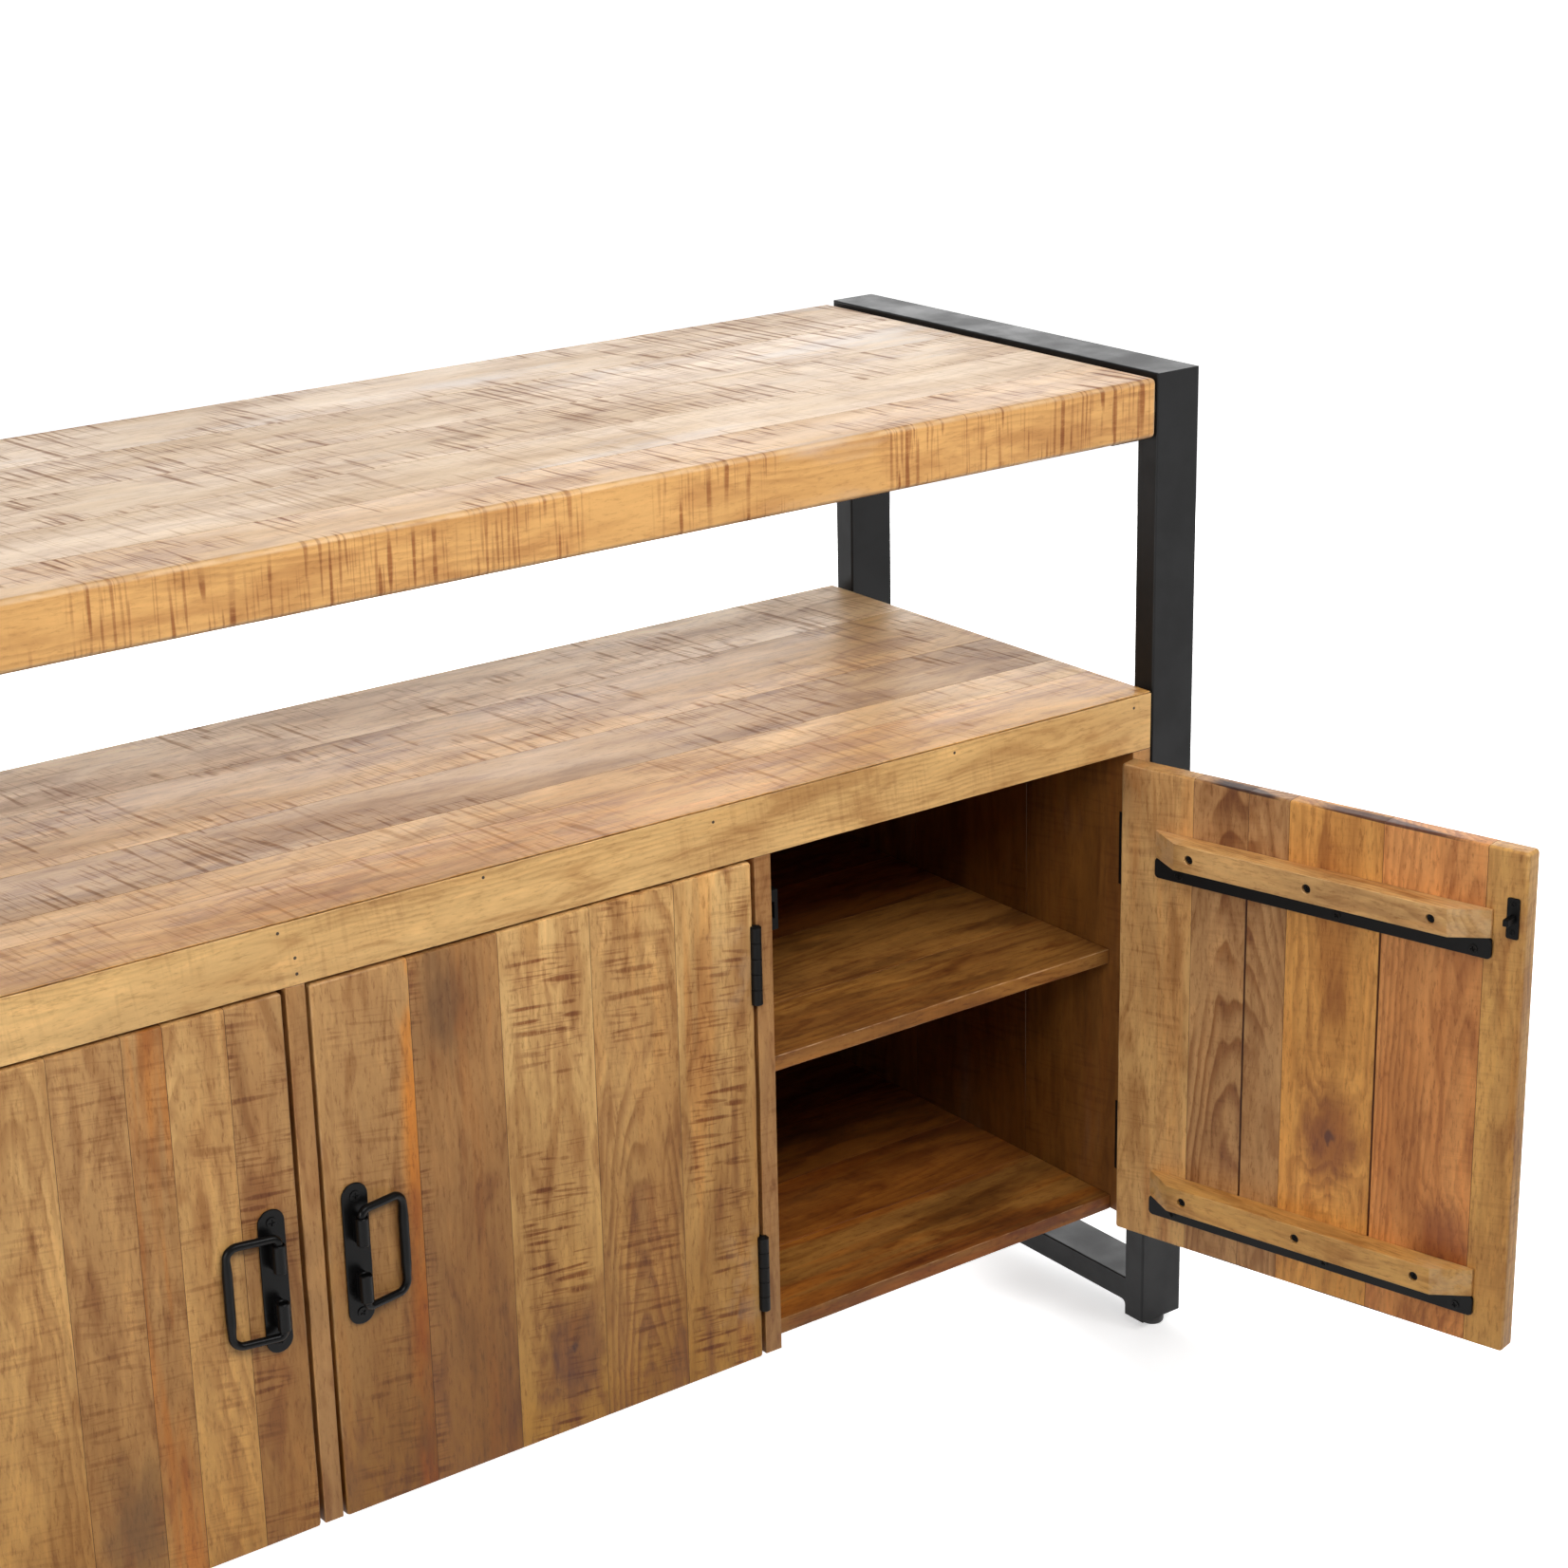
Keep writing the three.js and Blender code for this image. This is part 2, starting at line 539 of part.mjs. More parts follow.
// free is the direction of the free edge from the hinge: -1 towards -X, +1 towards +X.
function addDoor(root, name, free, pivotX, width, openDegrees, catchFace) {
  const s = free;
  const door = new THREE.Group();
  door.position.set(pivotX, PIVOT_Y, 0);
  door.rotation.z = -s * THREE.MathUtils.degToRad(openDegrees);
  door.add(piece(`door_${name}`, doorPanel(s, width), doorWood()));
  ['lower', 'upper'].forEach((level, i) => {
    const low = BATTEN.lows[i];
    door.add(piece(`batten_${level}_${name}`, batten(s, width, low), battenWood()));
    door.add(piece(`strap_${level}_${name}`, strap(s, width, low), ironBlack()));
    door.add(piece(`hinge_${level}_door_leaf_${name}`, hingeLeaf(s, HINGE_HEIGHTS[i], false), ironBlack()));
    const fixed = piece(`hinge_${level}_cabinet_leaf_${name}`,
      hingeLeaf(-s, HINGE_HEIGHTS[i], true), ironBlack());
    fixed.position.set(pivotX, PIVOT_Y, 0);
    root.add(fixed);
  });
  const handleX = s * (PIVOT_GAP + width - PLATE.inset);
  door.add(piece(`handle_plate_${name}`, handlePlate(handleX), ironBlack()));
  const swing = new THREE.Group();
  swing.position.set(handleX, OUTER_Y - BAIL.standOff, 0);
  swing.rotation.z = -s * Math.asin((BAIL.standOff - BAIL.rod - BAIL_CLEAR) / BAIL.reach);
  swing.add(piece(`handle_bail_${name}`, bail(-s), ironBlack()));
  door.add(swing);
  door.add(piece(`catch_strike_${name}`, strike(s, width), ironBlack()));
  root.add(door);
  root.add(piece(`roller_catch_${name}`, rollerCatch(catchFace, s), ironBlack()));
}

// ---- assembly ---------------------------------------------------------------------------------
function sideboard() {
  const root = new THREE.Group();
  root.add(piece('tabletop', tabletop(), slabWood()));
  for (const [side, name] of [[-1, 'left'], [1, 'right']]) {
    root.add(piece(`end_frame_${name}`, endFrame(side), frameSteel()));
    for (const [y, end] of [[TUBE.thick / 2, 'front'], [DEPTH - TUBE.thick / 2, 'rear']]) {
      const foot = piece(`glide_${end}_${name}`, glide(), glidePlastic());
      foot.position.set(glideX(side), y, 0);
      root.add(foot);
    }
  }
  cabinetPieces().forEach((mesh) => root.add(mesh));
  const outerDoor = OUTER_BAY - 2 * DOOR.gap;
  const middleDoor = 2 * MIDDLE_HALF - 2 * DOOR.gap;
  addDoor(root, 'left', 1, -BAY_EDGE + PIVOT_GAP, outerDoor, 0, -INNER_DIVIDER);
  addDoor(root, 'middle', -1, MIDDLE_HALF - PIVOT_GAP, middleDoor, 0, -MIDDLE_HALF);
  addDoor(root, 'right', -1, BAY_EDGE - PIVOT_GAP, outerDoor, OPEN_ANGLE, INNER_DIVIDER);

  // The origin is the middle of the footprint of the whole piece as it stands, at floor level.
  const bounds = new THREE.Box3().setFromObject(root, true);
  const centre = bounds.getCenter(new THREE.Vector3());
  root.position.set(-centre.x, -centre.y, -bounds.min.z);
  const placed = new THREE.Group();
  placed.add(root);
  return placed;
}

export default sideboard();
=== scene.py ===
import json
import math

import bmesh
import bpy
from mathutils import Matrix, Vector, noise


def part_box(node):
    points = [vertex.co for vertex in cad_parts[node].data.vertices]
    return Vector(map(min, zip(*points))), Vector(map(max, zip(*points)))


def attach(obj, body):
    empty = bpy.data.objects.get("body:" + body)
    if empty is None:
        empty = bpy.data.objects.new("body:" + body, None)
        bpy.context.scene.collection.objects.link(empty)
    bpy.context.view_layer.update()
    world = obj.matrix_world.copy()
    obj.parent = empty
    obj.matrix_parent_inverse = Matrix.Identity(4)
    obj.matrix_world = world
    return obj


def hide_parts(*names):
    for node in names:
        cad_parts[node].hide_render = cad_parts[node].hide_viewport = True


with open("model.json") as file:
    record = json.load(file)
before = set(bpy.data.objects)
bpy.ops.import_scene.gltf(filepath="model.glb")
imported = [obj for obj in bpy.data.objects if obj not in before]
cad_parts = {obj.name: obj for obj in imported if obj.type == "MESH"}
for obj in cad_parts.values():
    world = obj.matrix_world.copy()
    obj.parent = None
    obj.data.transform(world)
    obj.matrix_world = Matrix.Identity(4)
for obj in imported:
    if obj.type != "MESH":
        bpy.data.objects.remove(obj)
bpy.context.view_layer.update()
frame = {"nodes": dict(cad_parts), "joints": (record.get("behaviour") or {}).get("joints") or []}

MM = 0.001
TOUCH = 1e-6                  # how near two places are that count as one

# ---- sizes of what is shown and isn't in the frame ----
SLAB_ARRIS = 4.5 * MM
BOARD_ARRIS = 0.8 * MM
SEAM = 0.3 * MM               # easing of two staves where they meet
DOOR_GROOVE = 1.3 * MM        # half the width of the two V grooves on a door's inner face
GROOVE_SPAN = (185 * MM, 500 * MM)   # the heights between which they run
CUT_STEP = 22 * MM            # spacing of the cross cuts that let an arris wander
WANDER = 0.6 * MM             # how far an arris is worn in

TUBE_WIDE = 48 * MM           # across an end frame
TUBE = 24 * MM                # in the plane of the frame
TUBE_ROUND = 1.9 * MM
FOOT_RAIL = (23 * MM, 47 * MM)
WELD = 4.5 * MM
SPACER_RADIUS = 9 * MM
SPACER_LEVELS = (0.18, 0.54)  # of the spacers at the cabinet's ends

PLATE_THICK = 2 * MM
PLATE_SCREW_INSET = 10 * MM
EYE_RADIUS = 5.2 * MM
EYE_SPANS = ((11 * MM, 34 * MM), (-36.5 * MM, -13.5 * MM))
BAIL_ROD = 3.2 * MM
BAIL_REACH = 40 * MM
BAIL_TOP = 39.5 * MM
BAIL_BOTTOM = -41.5 * MM
BAIL_BEND = 9 * MM
BAIL_HOOK = 5 * MM
BAIL_LEAN = math.asin(7.4 / 40)
STRAP_SCREWS = (-135 * MM, 19 * MM, 144 * MM)
STRAP_SCREW_DROP = 12.2 * MM
STRAP_HOLE = 2.6 * MM
BATTEN_SCREWS = (-114 * MM, 0, 114 * MM)
BATTEN_HOLE = 4 * MM
BATTEN_BEVEL = 30 * MM
BATTEN_TOE = 3 * MM
HINGE_BARREL = 4.5 * MM
HINGE_KNUCKLES = 5
HINGE_LEAF = (0.2 * MM, 1.2 * MM)    # the faces of a leaf, from the plane where the two halves meet
HINGE_BORE = 2.3 * MM
HINGE_PIN = 2 * MM
OPEN_ANGLE = math.radians(104)

DOORS = {"left": (1, 0.0), "middle": (-1, 0.0), "right": (-1, OPEN_ANGLE)}
# Painted shade: the inner faces of the case are darkened, since the cabinet's inside lies in shadow.
INNER_SHADE = (0.42, 0.3, 0.15)   # what the tones of the case are multiplied by on its inner faces
# What each door's tone is multiplied by at its bottom, fading upwards: partly stain, partly painted shade
# where less light reaches the lower door.
DOOR_STAIN_AND_SHADE = {"left": (0.84, 0.7, 0.4), "middle": (0.56, 0.41, 0.1), "right": (1.0, 0.95, 0.85)}
WHITE = (1.0, 1.0, 1.0)

STUDIO_REACH = 60
LENS = 75.14
CAMERA_OFFSET = (-1.90579, -1.97772, 1.47623)   # from the front right corner of the footprint
CAMERA_TURNS = ((-36.44, "Z"), (-19.08, "X"), (1.23, "Y"), (90, "X"))


# ---- colour ----
def tint(r, g, b):
    """A colour given as the eye sees it, 0 to 255, turned into light."""
    def channel(c):
        c /= 255
        return c / 12.92 if c <= 0.04045 else ((c + 0.055) / 1.055) ** 2.4
    return (channel(r), channel(g), channel(b), 1.0)


# Pale is partly painted light: it brightens the back board of the cabinet top.
PALE = tint(255, 220, 168)
CREAM = tint(220, 186, 143)
HONEY = tint(214, 168, 106)
GOLD = tint(216, 164, 90)
TAN = tint(194, 148, 92)
BROWN = tint(180, 132, 78)
GREY_TAN = tint(194, 148, 96)
RUSSET = tint(220, 152, 86)
STRAW = tint(226, 182, 118)
AMBER = tint(226, 164, 84)
# The next three tones are for the inner boards; their darkness is partly painted shade of the cabinet's
# inside.
UMBER_GOLD = tint(164, 112, 50)
COPPER = tint(148, 88, 30)
MAROON = tint(126, 73, 24)
OAT = tint(216, 172, 116)
FAWN = tint(196, 157, 106)


# ---- node graphs ----
class Graph:
    """One procedural material: a principled shader and the nodes that feed it."""

    def __init__(self, name):
        self.material = bpy.data.materials.new(name)
        self.material.use_nodes = True
        self.tree = self.material.node_tree
        self.tree.nodes.clear()
        output = self.tree.nodes.new("ShaderNodeOutputMaterial")
        self.shader = self.tree.nodes.new("ShaderNodeBsdfPrincipled")
        self.tree.links.new(self.shader.outputs[0], output.inputs["Surface"])

    def feed(self, socket, value):
        if isinstance(value, bpy.types.NodeSocket):
            self.tree.links.new(value, socket)
        else:
            socket.default_value = value

    def math(self, operation, a, b=0.0):
        node = self.tree.nodes.new("ShaderNodeMath")
        node.operation = operation
        self.feed(node.inputs[0], a)
        self.feed(node.inputs[1], b)
        return node.outputs[0]

    def add(self, a, b):
        return self.math("ADD", a, b)

    def times(self, a, b):
        return self.math("MULTIPLY", a, b)

    def hypot(self, a, b):
        return self.math("SQRT", self.add(self.times(a, a), self.times(b, b)))

    def ramp(self, value, low, high, to_low=0.0, to_high=1.0):
        node = self.tree.nodes.new("ShaderNodeMapRange")
        node.interpolation_type = "SMOOTHSTEP"
        self.feed(node.inputs["Value"], value)
        node.inputs["From Min"].default_value = low
        node.inputs["From Max"].default_value = high
        node.inputs["To Min"].default_value = to_low
        node.inputs["To Max"].default_value = to_high
        return node.outputs["Result"]

    def attribute(self, name, output="Vector"):
        node = self.tree.nodes.new("ShaderNodeAttribute")
        node.attribute_name = name
        return node.outputs[output]

    def split(self, vector):
        node = self.tree.nodes.new("ShaderNodeSeparateXYZ")
        self.feed(node.inputs[0], vector)
        return node.outputs[0], node.outputs[1], node.outputs[2]

    def vector(self, x, y, z):
        node = self.tree.nodes.new("ShaderNodeCombineXYZ")
        for socket, value in zip(node.inputs, (x, y, z)):
            self.feed(socket, value)
        return node.outputs[0]

    def noise(self, vector, scale, detail=3.0, roughness=0.55, distortion=0.0):
        stretch = self.tree.nodes.new("ShaderNodeVectorMath")
        stretch.operation = "MULTIPLY"
        self.feed(stretch.inputs[0], vector)
        stretch.inputs[1].default_value = scale
        node = self.tree.nodes.new("ShaderNodeTexNoise")
        self.feed(node.inputs["Vector"], stretch.outputs[0])
        node.inputs["Scale"].default_value = 1.0
        node.inputs["Detail"].default_value = detail
        node.inputs["Roughness"].default_value = roughness
        node.inputs["Distortion"].default_value = distortion
        return node.outputs[0]

    def shade(self, colour, amount, tone):
        """colour multiplied by tone, as far as amount says."""
        return self.blend(colour, amount, (*tone, 1.0), "MULTIPLY")

    def blend(self, colour, amount, other, how="MIX"):
        node = self.tree.nodes.new("ShaderNodeMix")
        node.data_type = "RGBA"
        node.blend_type = how
        node.clamp_factor = True
        self.feed(node.inputs[0], amount)
        self.feed(node.inputs[6], colour)
        self.feed(node.inputs[7], other)
        return node.outputs[2]

    def bump(self, height, strength, distance):
        node = self.tree.nodes.new("ShaderNodeBump")
        node.inputs["Strength"].default_value = strength
        node.inputs["Distance"].default_value = distance
        self.feed(node.inputs["Height"], height)
        self.feed(self.shader.inputs["Normal"], node.outputs[0])

    def glow(self, strength):
        """White light given off by the surface itself."""
        self.feed(self.shader.inputs["Emission Color"], (*WHITE, 1.0))
        self.feed(self.shader.inputs["Emission Strength"], strength)

    def finish(self, colour, roughness, gloss=0.5):
        self.feed(self.shader.inputs["Base Color"], colour)
        self.feed(self.shader.inputs["Roughness"], roughness)
        self.shader.inputs["Specular IOR Level"].default_value = gloss
        return self.material


# ---- materials ----
def saw_strokes(g, along, across, deep, pitch, length, slant):
    """Rows of strokes across the grain, each row with gaps of its own."""
    drift = g.add(g.noise(g.vector(along, across, deep), (24, 2.5, 2.5), 2.0), -0.5)
    place = g.add(g.add(along, g.times(across, slant)), g.times(drift, 0.028))
    row = g.times(place, 1 / pitch)
    number = g.math("FLOOR", row)
    off = g.math("ABSOLUTE", g.add(g.math("FRACT", row), -0.5))
    lane = g.vector(g.times(number, 7.31), g.times(across, 1 / length), g.times(deep, 1 / length))
    reach = g.noise(lane, (1, 1, 1), 2.0, 0.6)
    width = g.ramp(reach, 0.46, 0.72, 0.08, 0.36)
    line = g.ramp(g.math("DIVIDE", off, width), 1.0, 0.35)
    return g.times(line, g.ramp(reach, 0.5, 0.6))


def shaded(g, colour, *rows):
    """colour multiplied by the tone of each row, as far as the row's field lies between its levels."""
    for field, low, high, amount, tone in rows:
        colour = g.shade(colour, g.times(g.ramp(field, low, high), amount), tone)
    return colour


def spot_fields(g, grain):
    """How far a point is from its stave's spot, how far to its side, and whether it's a knot, a streak
    or soot."""
    along, across, kind = g.split(g.attribute("spot"))
    knotty = g.times(g.ramp(kind, 0, 1), g.ramp(kind, 2, 1))
    streaky = g.ramp(kind, 2, 3)
    sooty = g.math("MAXIMUM", g.times(kind, -1), 0.0)
    far = g.hypot(g.times(along, 0.6), across)
    far = g.add(far, g.times(g.add(g.noise(grain, (34, 60, 60), 3.0), -0.5), 0.022))
    return far, across, knotty, streaky, sooty


def late_wood(g, grain, sway, bulge, ring_gap):
    """The dark part of each ring about the pith. The rings bulge round a knot."""
    _, across, deep = g.split(grain)
    ripple = g.add(g.noise(grain, (16, 50, 50), 2.0), -0.5)
    radius = g.add(g.hypot(across, deep), g.add(g.times(sway, 0.045), g.times(ripple, 0.004)))
    radius = g.add(radius, g.times(bulge, 0.02))
    turn = g.math("FRACT", g.times(radius, 1 / ring_gap))
    late = g.times(g.ramp(turn, 0.2, 0.84), g.ramp(turn, 0.86, 1.0, 1.0, 0.0))
    return g.times(late, g.ramp(g.noise(grain, (3, 26, 26), 2.0), 0.4, 0.6, 0.1, 1.0))


def sawn_patches(g, grain, sway, sawn_share, column):
    """Where the saw's strokes show: in patches, and only near the middle of a column if one is given."""
    edge = 0.68 - 0.4 * sawn_share
    patches = g.ramp(g.noise(grain, (8, 10, 10), 2.0), edge - 0.06, edge + 0.06)
    if not column:
        return patches
    aside = g.math("ABSOLUTE", g.add(g.split(grain)[1], g.times(sway, 0.03)))
    return g.times(patches, g.ramp(aside, column, column * 0.6))


def all_strokes(g, grain, stroke):
    """Saw strokes of three pitches, one set over another."""
    along, across, deep = g.split(grain)
    wide = saw_strokes(g, along, across, deep, 9.5 * MM, stroke, 0.1)
    fine = saw_strokes(g, g.add(along, 0.37), across, deep, 5.3 * MM, stroke * 0.7, 0.16)
    hair = saw_strokes(g, g.add(along, 0.81), across, deep, 3.3 * MM, stroke * 0.8, 0.12)
    return g.math("MAXIMUM", g.math("MAXIMUM", wide, g.times(fine, 0.7)), g.times(hair, 0.45))


def wood(name, ring_gap=5.5 * MM, saw=0.75, stroke=30 * MM, roughness=0.44, smoke=0.0, speckle=0.8,
         contrast=1.0, sawn_share=0.5, column=None, edge_wear_and_highlight=0.4):
    """Reclaimed hardwood. Every stave brings its own tone, saw marks, stains, figure and knots."""
    g = Graph(name)
    grain = g.attribute("grain")
    sawn, stained, glowing = g.split(g.attribute("traits"))
    figured = g.attribute("traits", "Alpha")
    wear_highlight_shade = g.attribute("wear_highlight_shade", "Fac")
    spot_far, spot_across, knotty, streaky, sooty = spot_fields(g, grain)
    sway = g.add(g.noise(grain, (2.2, 9, 9), 3.0), -0.5)
    late = late_wood(g, grain, sway, g.times(g.ramp(spot_far, 0.05, 0.0), knotty), ring_gap)
    clouds = g.noise(grain, (2.8, 12, 12), 4.0, 0.62, 0.4)
    flames = g.noise(grain, (11, 46, 46), 3.0, 0.6, 0.8)
    streaks = g.noise(grain, (7, 150, 150), 3.0, 0.6)
    pores = g.noise(grain, (75, 360, 360), 4.0, 0.72)

    colour = shaded(
        g, g.attribute("tone", "Color"),
        (clouds, 0.46, 0.7, 0.62 * contrast, (0.62, 0.5, 0.38)),
        (clouds, 0.48, 0.28, 0.9 * contrast, (1.16, 1.17, 1.16)),
        (flames, 0.48, 0.7, 0.75 * contrast, (0.6, 0.46, 0.33)),
        (flames, 0.48, 0.3, 0.8 * contrast, (1.18, 1.18, 1.18)))
    figured = g.math("MAXIMUM", figured, g.times(g.ramp(spot_far, 0.06, 0.03), g.times(knotty, 0.6)))
    colour = g.shade(colour, g.times(late, figured), (0.56, 0.42, 0.3))
    colour = shaded(
        g, colour,
        (streaks, 0.52, 0.75, 0.4 * contrast, (0.62, 0.5, 0.38)),
        (pores, 0.5, 0.7, speckle, (0.62, 0.52, 0.42)),
        (pores, 0.44, 0.3, speckle * 0.6, (1.16, 1.18, 1.22)),
        (g.noise(grain, (2.0, 38, 38), 3.0), 0.5, 0.62, glowing, (1.12, 0.8, 0.44)),
        (g.noise(grain, (5, 19, 19), 5.0, 0.62), 0.48, 0.68, stained, (0.42, 0.36, 0.3)))
    beside = g.math("ABSOLUTE", g.add(spot_across, g.times(sway, 0.02)))
    sapwood = g.times(g.ramp(beside, 0.014, 0.003), g.ramp(g.noise(grain, (9, 30, 30), 3.0), 0.36, 0.56))
    colour = g.shade(colour, g.times(sapwood, streaky), (1.24, 0.86, 0.34))
    ragged = g.times(g.add(flames, -0.5), 0.07)
    soot = g.times(g.ramp(g.add(spot_far, ragged), 0.042, 0.004), sooty)
    colour = g.shade(colour, g.times(soot, 0.9), (0.4, 0.37, 0.37))
    if smoke:
        haze = g.times(g.ramp(g.noise(grain, (2.6, 13, 13), 4.0, 0.6), 0.56, 0.7), smoke)
        colour = g.blend(colour, haze, tint(196, 186, 182))

    # Strokes that the saw left across the grain, in patches, with a smudge under each patch.
    patches = sawn_patches(g, grain, sway, sawn_share, column)
    strokes = g.times(all_strokes(g, grain, stroke), g.ramp(pores, 0.3, 0.5, 0.55, 1.0))
    cuts = g.times(g.times(strokes, patches), sawn)
    smudge = g.times(g.times(patches, sawn), g.ramp(flames, 0.35, 0.6))
    colour = g.shade(colour, g.times(smudge, saw * 0.4), (0.62, 0.44, 0.32))
    colour = g.shade(colour, g.times(cuts, saw), (0.42, 0.25, 0.16))

    core = g.add(spot_far, g.times(g.add(flames, -0.5), 0.012))
    colour = shaded(
        g, colour,
        (core, 0.038, 0.012, g.times(knotty, 0.9), (0.4, 0.26, 0.15)),
        (core, 0.006, 0.002, knotty, (0.3, 0.2, 0.14)))

    # Pale rounded arrises: worn wood with chips, and partly painted highlight where an arris catches the
    # light.
    chips = g.ramp(g.noise(grain, (60, 60, 60), 3.0), 0.42, 0.6)
    worn_and_highlight = g.times(g.ramp(wear_highlight_shade, 0.2, 1.0), g.add(g.times(chips, edge_wear_and_highlight), 0.2 * edge_wear_and_highlight))
    colour = g.blend(colour, worn_and_highlight, CREAM)
    # Dark lines at the seams, and painted shade in the door's V grooves.
    colour = g.shade(colour, g.ramp(wear_highlight_shade, -0.12, -0.5), (0.16, 0.1, 0.07))

    height = g.add(g.times(pores, 0.4), g.times(streaks, 0.5))
    height = g.add(height, g.times(cuts, -0.6))
    g.bump(height, 0.35, 0.8 * MM)
    rough = g.add(g.ramp(clouds, 0.3, 0.7, roughness - 0.06, roughness + 0.08), g.times(cuts, 0.2))
    return g.finish(colour, rough, gloss=0.4)


def metal(name, colour, roughness, speckle, strength, gloss=0.5, bare=0.0):
    """Coated or blackened metal, with a fine pebbled skin of the given speckle size."""
    g = Graph(name)
    place = g.tree.nodes.new("ShaderNodeTexCoord").outputs["Object"]
    fine = g.noise(place, (1 / speckle,) * 3, 3.0, 0.6)
    broad = g.noise(place, (18, 18, 18), 4.0, 0.6)
    shown = g.shade((*colour, 1.0), g.ramp(broad, 0.4, 0.7), (0.72, 0.7, 0.68))
    rubbed = g.times(g.ramp(g.noise(place, (140, 140, 140), 3.0), 0.6, 0.72), bare)
    shown = g.blend(shown, rubbed, tint(104, 100, 94))
    g.bump(fine, strength, 0.3 * MM)
    return g.finish(shown, g.ramp(broad, 0.3, 0.7, roughness - 0.05, roughness + 0.08), gloss)


def white_floor():
    """White paper that glows, a little less where the open end stands, so that its shadow shows."""
    g = Graph("white_floor")
    x, y, _ = g.split(g.tree.nodes.new("ShaderNodeTexCoord").outputs["Object"])
    away = g.hypot(g.times(g.add(x, -0.61), 4.2), g.add(y, 0.1))
    g.glow(g.ramp(away, 0.12, 0.38, 0.48, 0.97))
    return g.finish((0.9, 0.9, 0.9, 1.0), 0.8, gloss=0.0)


def white_wall():
    g = Graph("white_wall")
    g.glow(1.05)
    return g.finish((0.0, 0.0, 0.0, 1.0), 1.0, gloss=0.0)


# ---- meshes ----
def mesh_object(name, points, faces, material, fields=None):
    mesh = bpy.data.meshes.new(name)
    mesh.from_pydata(points, [], faces)
    members = {"FLOAT": "value", "FLOAT_VECTOR": "vector", "FLOAT_COLOR": "color"}
    for field, (kind, values) in (fields or {}).items():
        layer = mesh.attributes.new(field, kind, "POINT")
        flat = [x for value in values for x in value] if kind != "FLOAT" else values
        layer.data.foreach_set(members[kind], flat)
    mesh.materials.append(material)
    mesh.shade_smooth()
    mesh.set_sharp_from_angle(angle=math.radians(38))
    mesh.update()
    thing = bpy.data.objects.new(name, mesh)
    bpy.context.scene.collection.objects.link(thing)
    even = thing.modifiers.new("even_normals", "WEIGHTED_NORMAL")
    even.keep_sharp = True
    even.weight = 100
    return thing


def solid_mesh(solid):
    mesh = bpy.data.meshes.new("part")
    solid.to_mesh(mesh)
    solid.free()
    return mesh


def curve_mesh(curve):
    holder = bpy.data.objects.new("holder", curve)
    mesh = bpy.data.meshes.new_from_object(holder)
    bpy.data.objects.remove(holder)
    bpy.data.curves.remove(curve)
    return mesh


def flat_part(loops, thick, edge, resolution=2):
    """Plate in the XY plane, centred on it, from an outer loop and its holes, with rounded edges."""
    curve = bpy.data.curves.new("outline", "CURVE")
    curve.dimensions = "2D"
    curve.fill_mode = "BOTH"
    curve.extrude = thick / 2 - edge
    curve.bevel_depth = edge
    curve.bevel_resolution = resolution
    curve.offset = -edge
    for loop in loops:
        spline = curve.splines.new("POLY")
        spline.points.add(len(loop) - 1)
        spline.use_cyclic_u = True
        for point, (x, y) in zip(spline.points, loop):
            point.co = (x, y, 0, 1)
    return curve_mesh(curve)


def swept_part(line, radii):
    """Round rod along a line, with a radius at each point."""
    curve = bpy.data.curves.new("rod", "CURVE")
    curve.dimensions = "3D"
    curve.bevel_depth = 1.0
    curve.bevel_resolution = 6
    curve.use_fill_caps = True
    spline = curve.splines.new("POLY")
    spline.points.add(len(line) - 1)
    for point, place, radius in zip(spline.points, line, radii):
        point.co = (*place, 1)
        point.radius = radius
    return curve_mesh(curve)


def lathe_part(profile, steps=32, closed=False):
    """Profile of (radius, height) points turned about the Z axis."""
    points = []
    for radius, height in profile:
        for i in range(steps):
            turn = 2 * math.pi * i / steps
            points.append((radius * math.cos(turn), radius * math.sin(turn), height))
    faces = []
    rows = len(profile)
    for j in range(rows if closed else rows - 1):
        a, b = j * steps, ((j + 1) % rows) * steps
        for i in range(steps):
            k = (i + 1) % steps
            faces.append((a + i, a + k, b + k, b + i))
    mesh = bpy.data.meshes.new("turned")
    mesh.from_pydata(points, [], faces)
    solid = bmesh.new()
    solid.from_mesh(mesh)
    bmesh.ops.remove_doubles(solid, verts=solid.verts, dist=1e-7)
    bmesh.ops.recalc_face_normals(solid, faces=solid.faces)
    return solid_mesh(solid)


def block_part(low, high, edge, segments=2):
    solid = block(low, high)
    ease(solid, sharp_edges(solid), edge, segments)
    return solid_mesh(solid)


def placed_faces(loops, first, place):
    """Faces whose corners are counted from first, turned round where the place mirrors them."""
    mirrored = place.to_3x3().determinant() < 0
    faces = []
    for loop in loops:
        corners = [first + i for i in loop]
        faces.append(corners[::-1] if mirrored else corners)
    return faces


def assembled(name, parts, material):
    """One object from several meshes, each with the matrix that places it."""
    points, faces = [], []
    for mesh, place in parts:
        faces += placed_faces([face.vertices for face in mesh.polygons], len(points), place)
        points += [place @ v.co for v in mesh.vertices]
    return mesh_object(name, points, faces, material)


def block(low, high):
    solid = bmesh.new()
    bmesh.ops.create_cube(solid, size=1)
    for v in solid.verts:
        v.co = Vector([low[i] + (v.co[i] + 0.5) * (high[i] - low[i]) for i in range(3)])
    return solid


def frame_solid(node):
    """A copy of a CAD node's shape, with its flat faces made whole."""
    solid = bmesh.new()
    solid.from_mesh(frame["nodes"][node].data)
    bmesh.ops.remove_doubles(solid, verts=solid.verts, dist=TOUCH)
    bmesh.ops.dissolve_limit(
        solid, angle_limit=math.radians(0.5), verts=solid.verts, edges=solid.edges)
    return solid


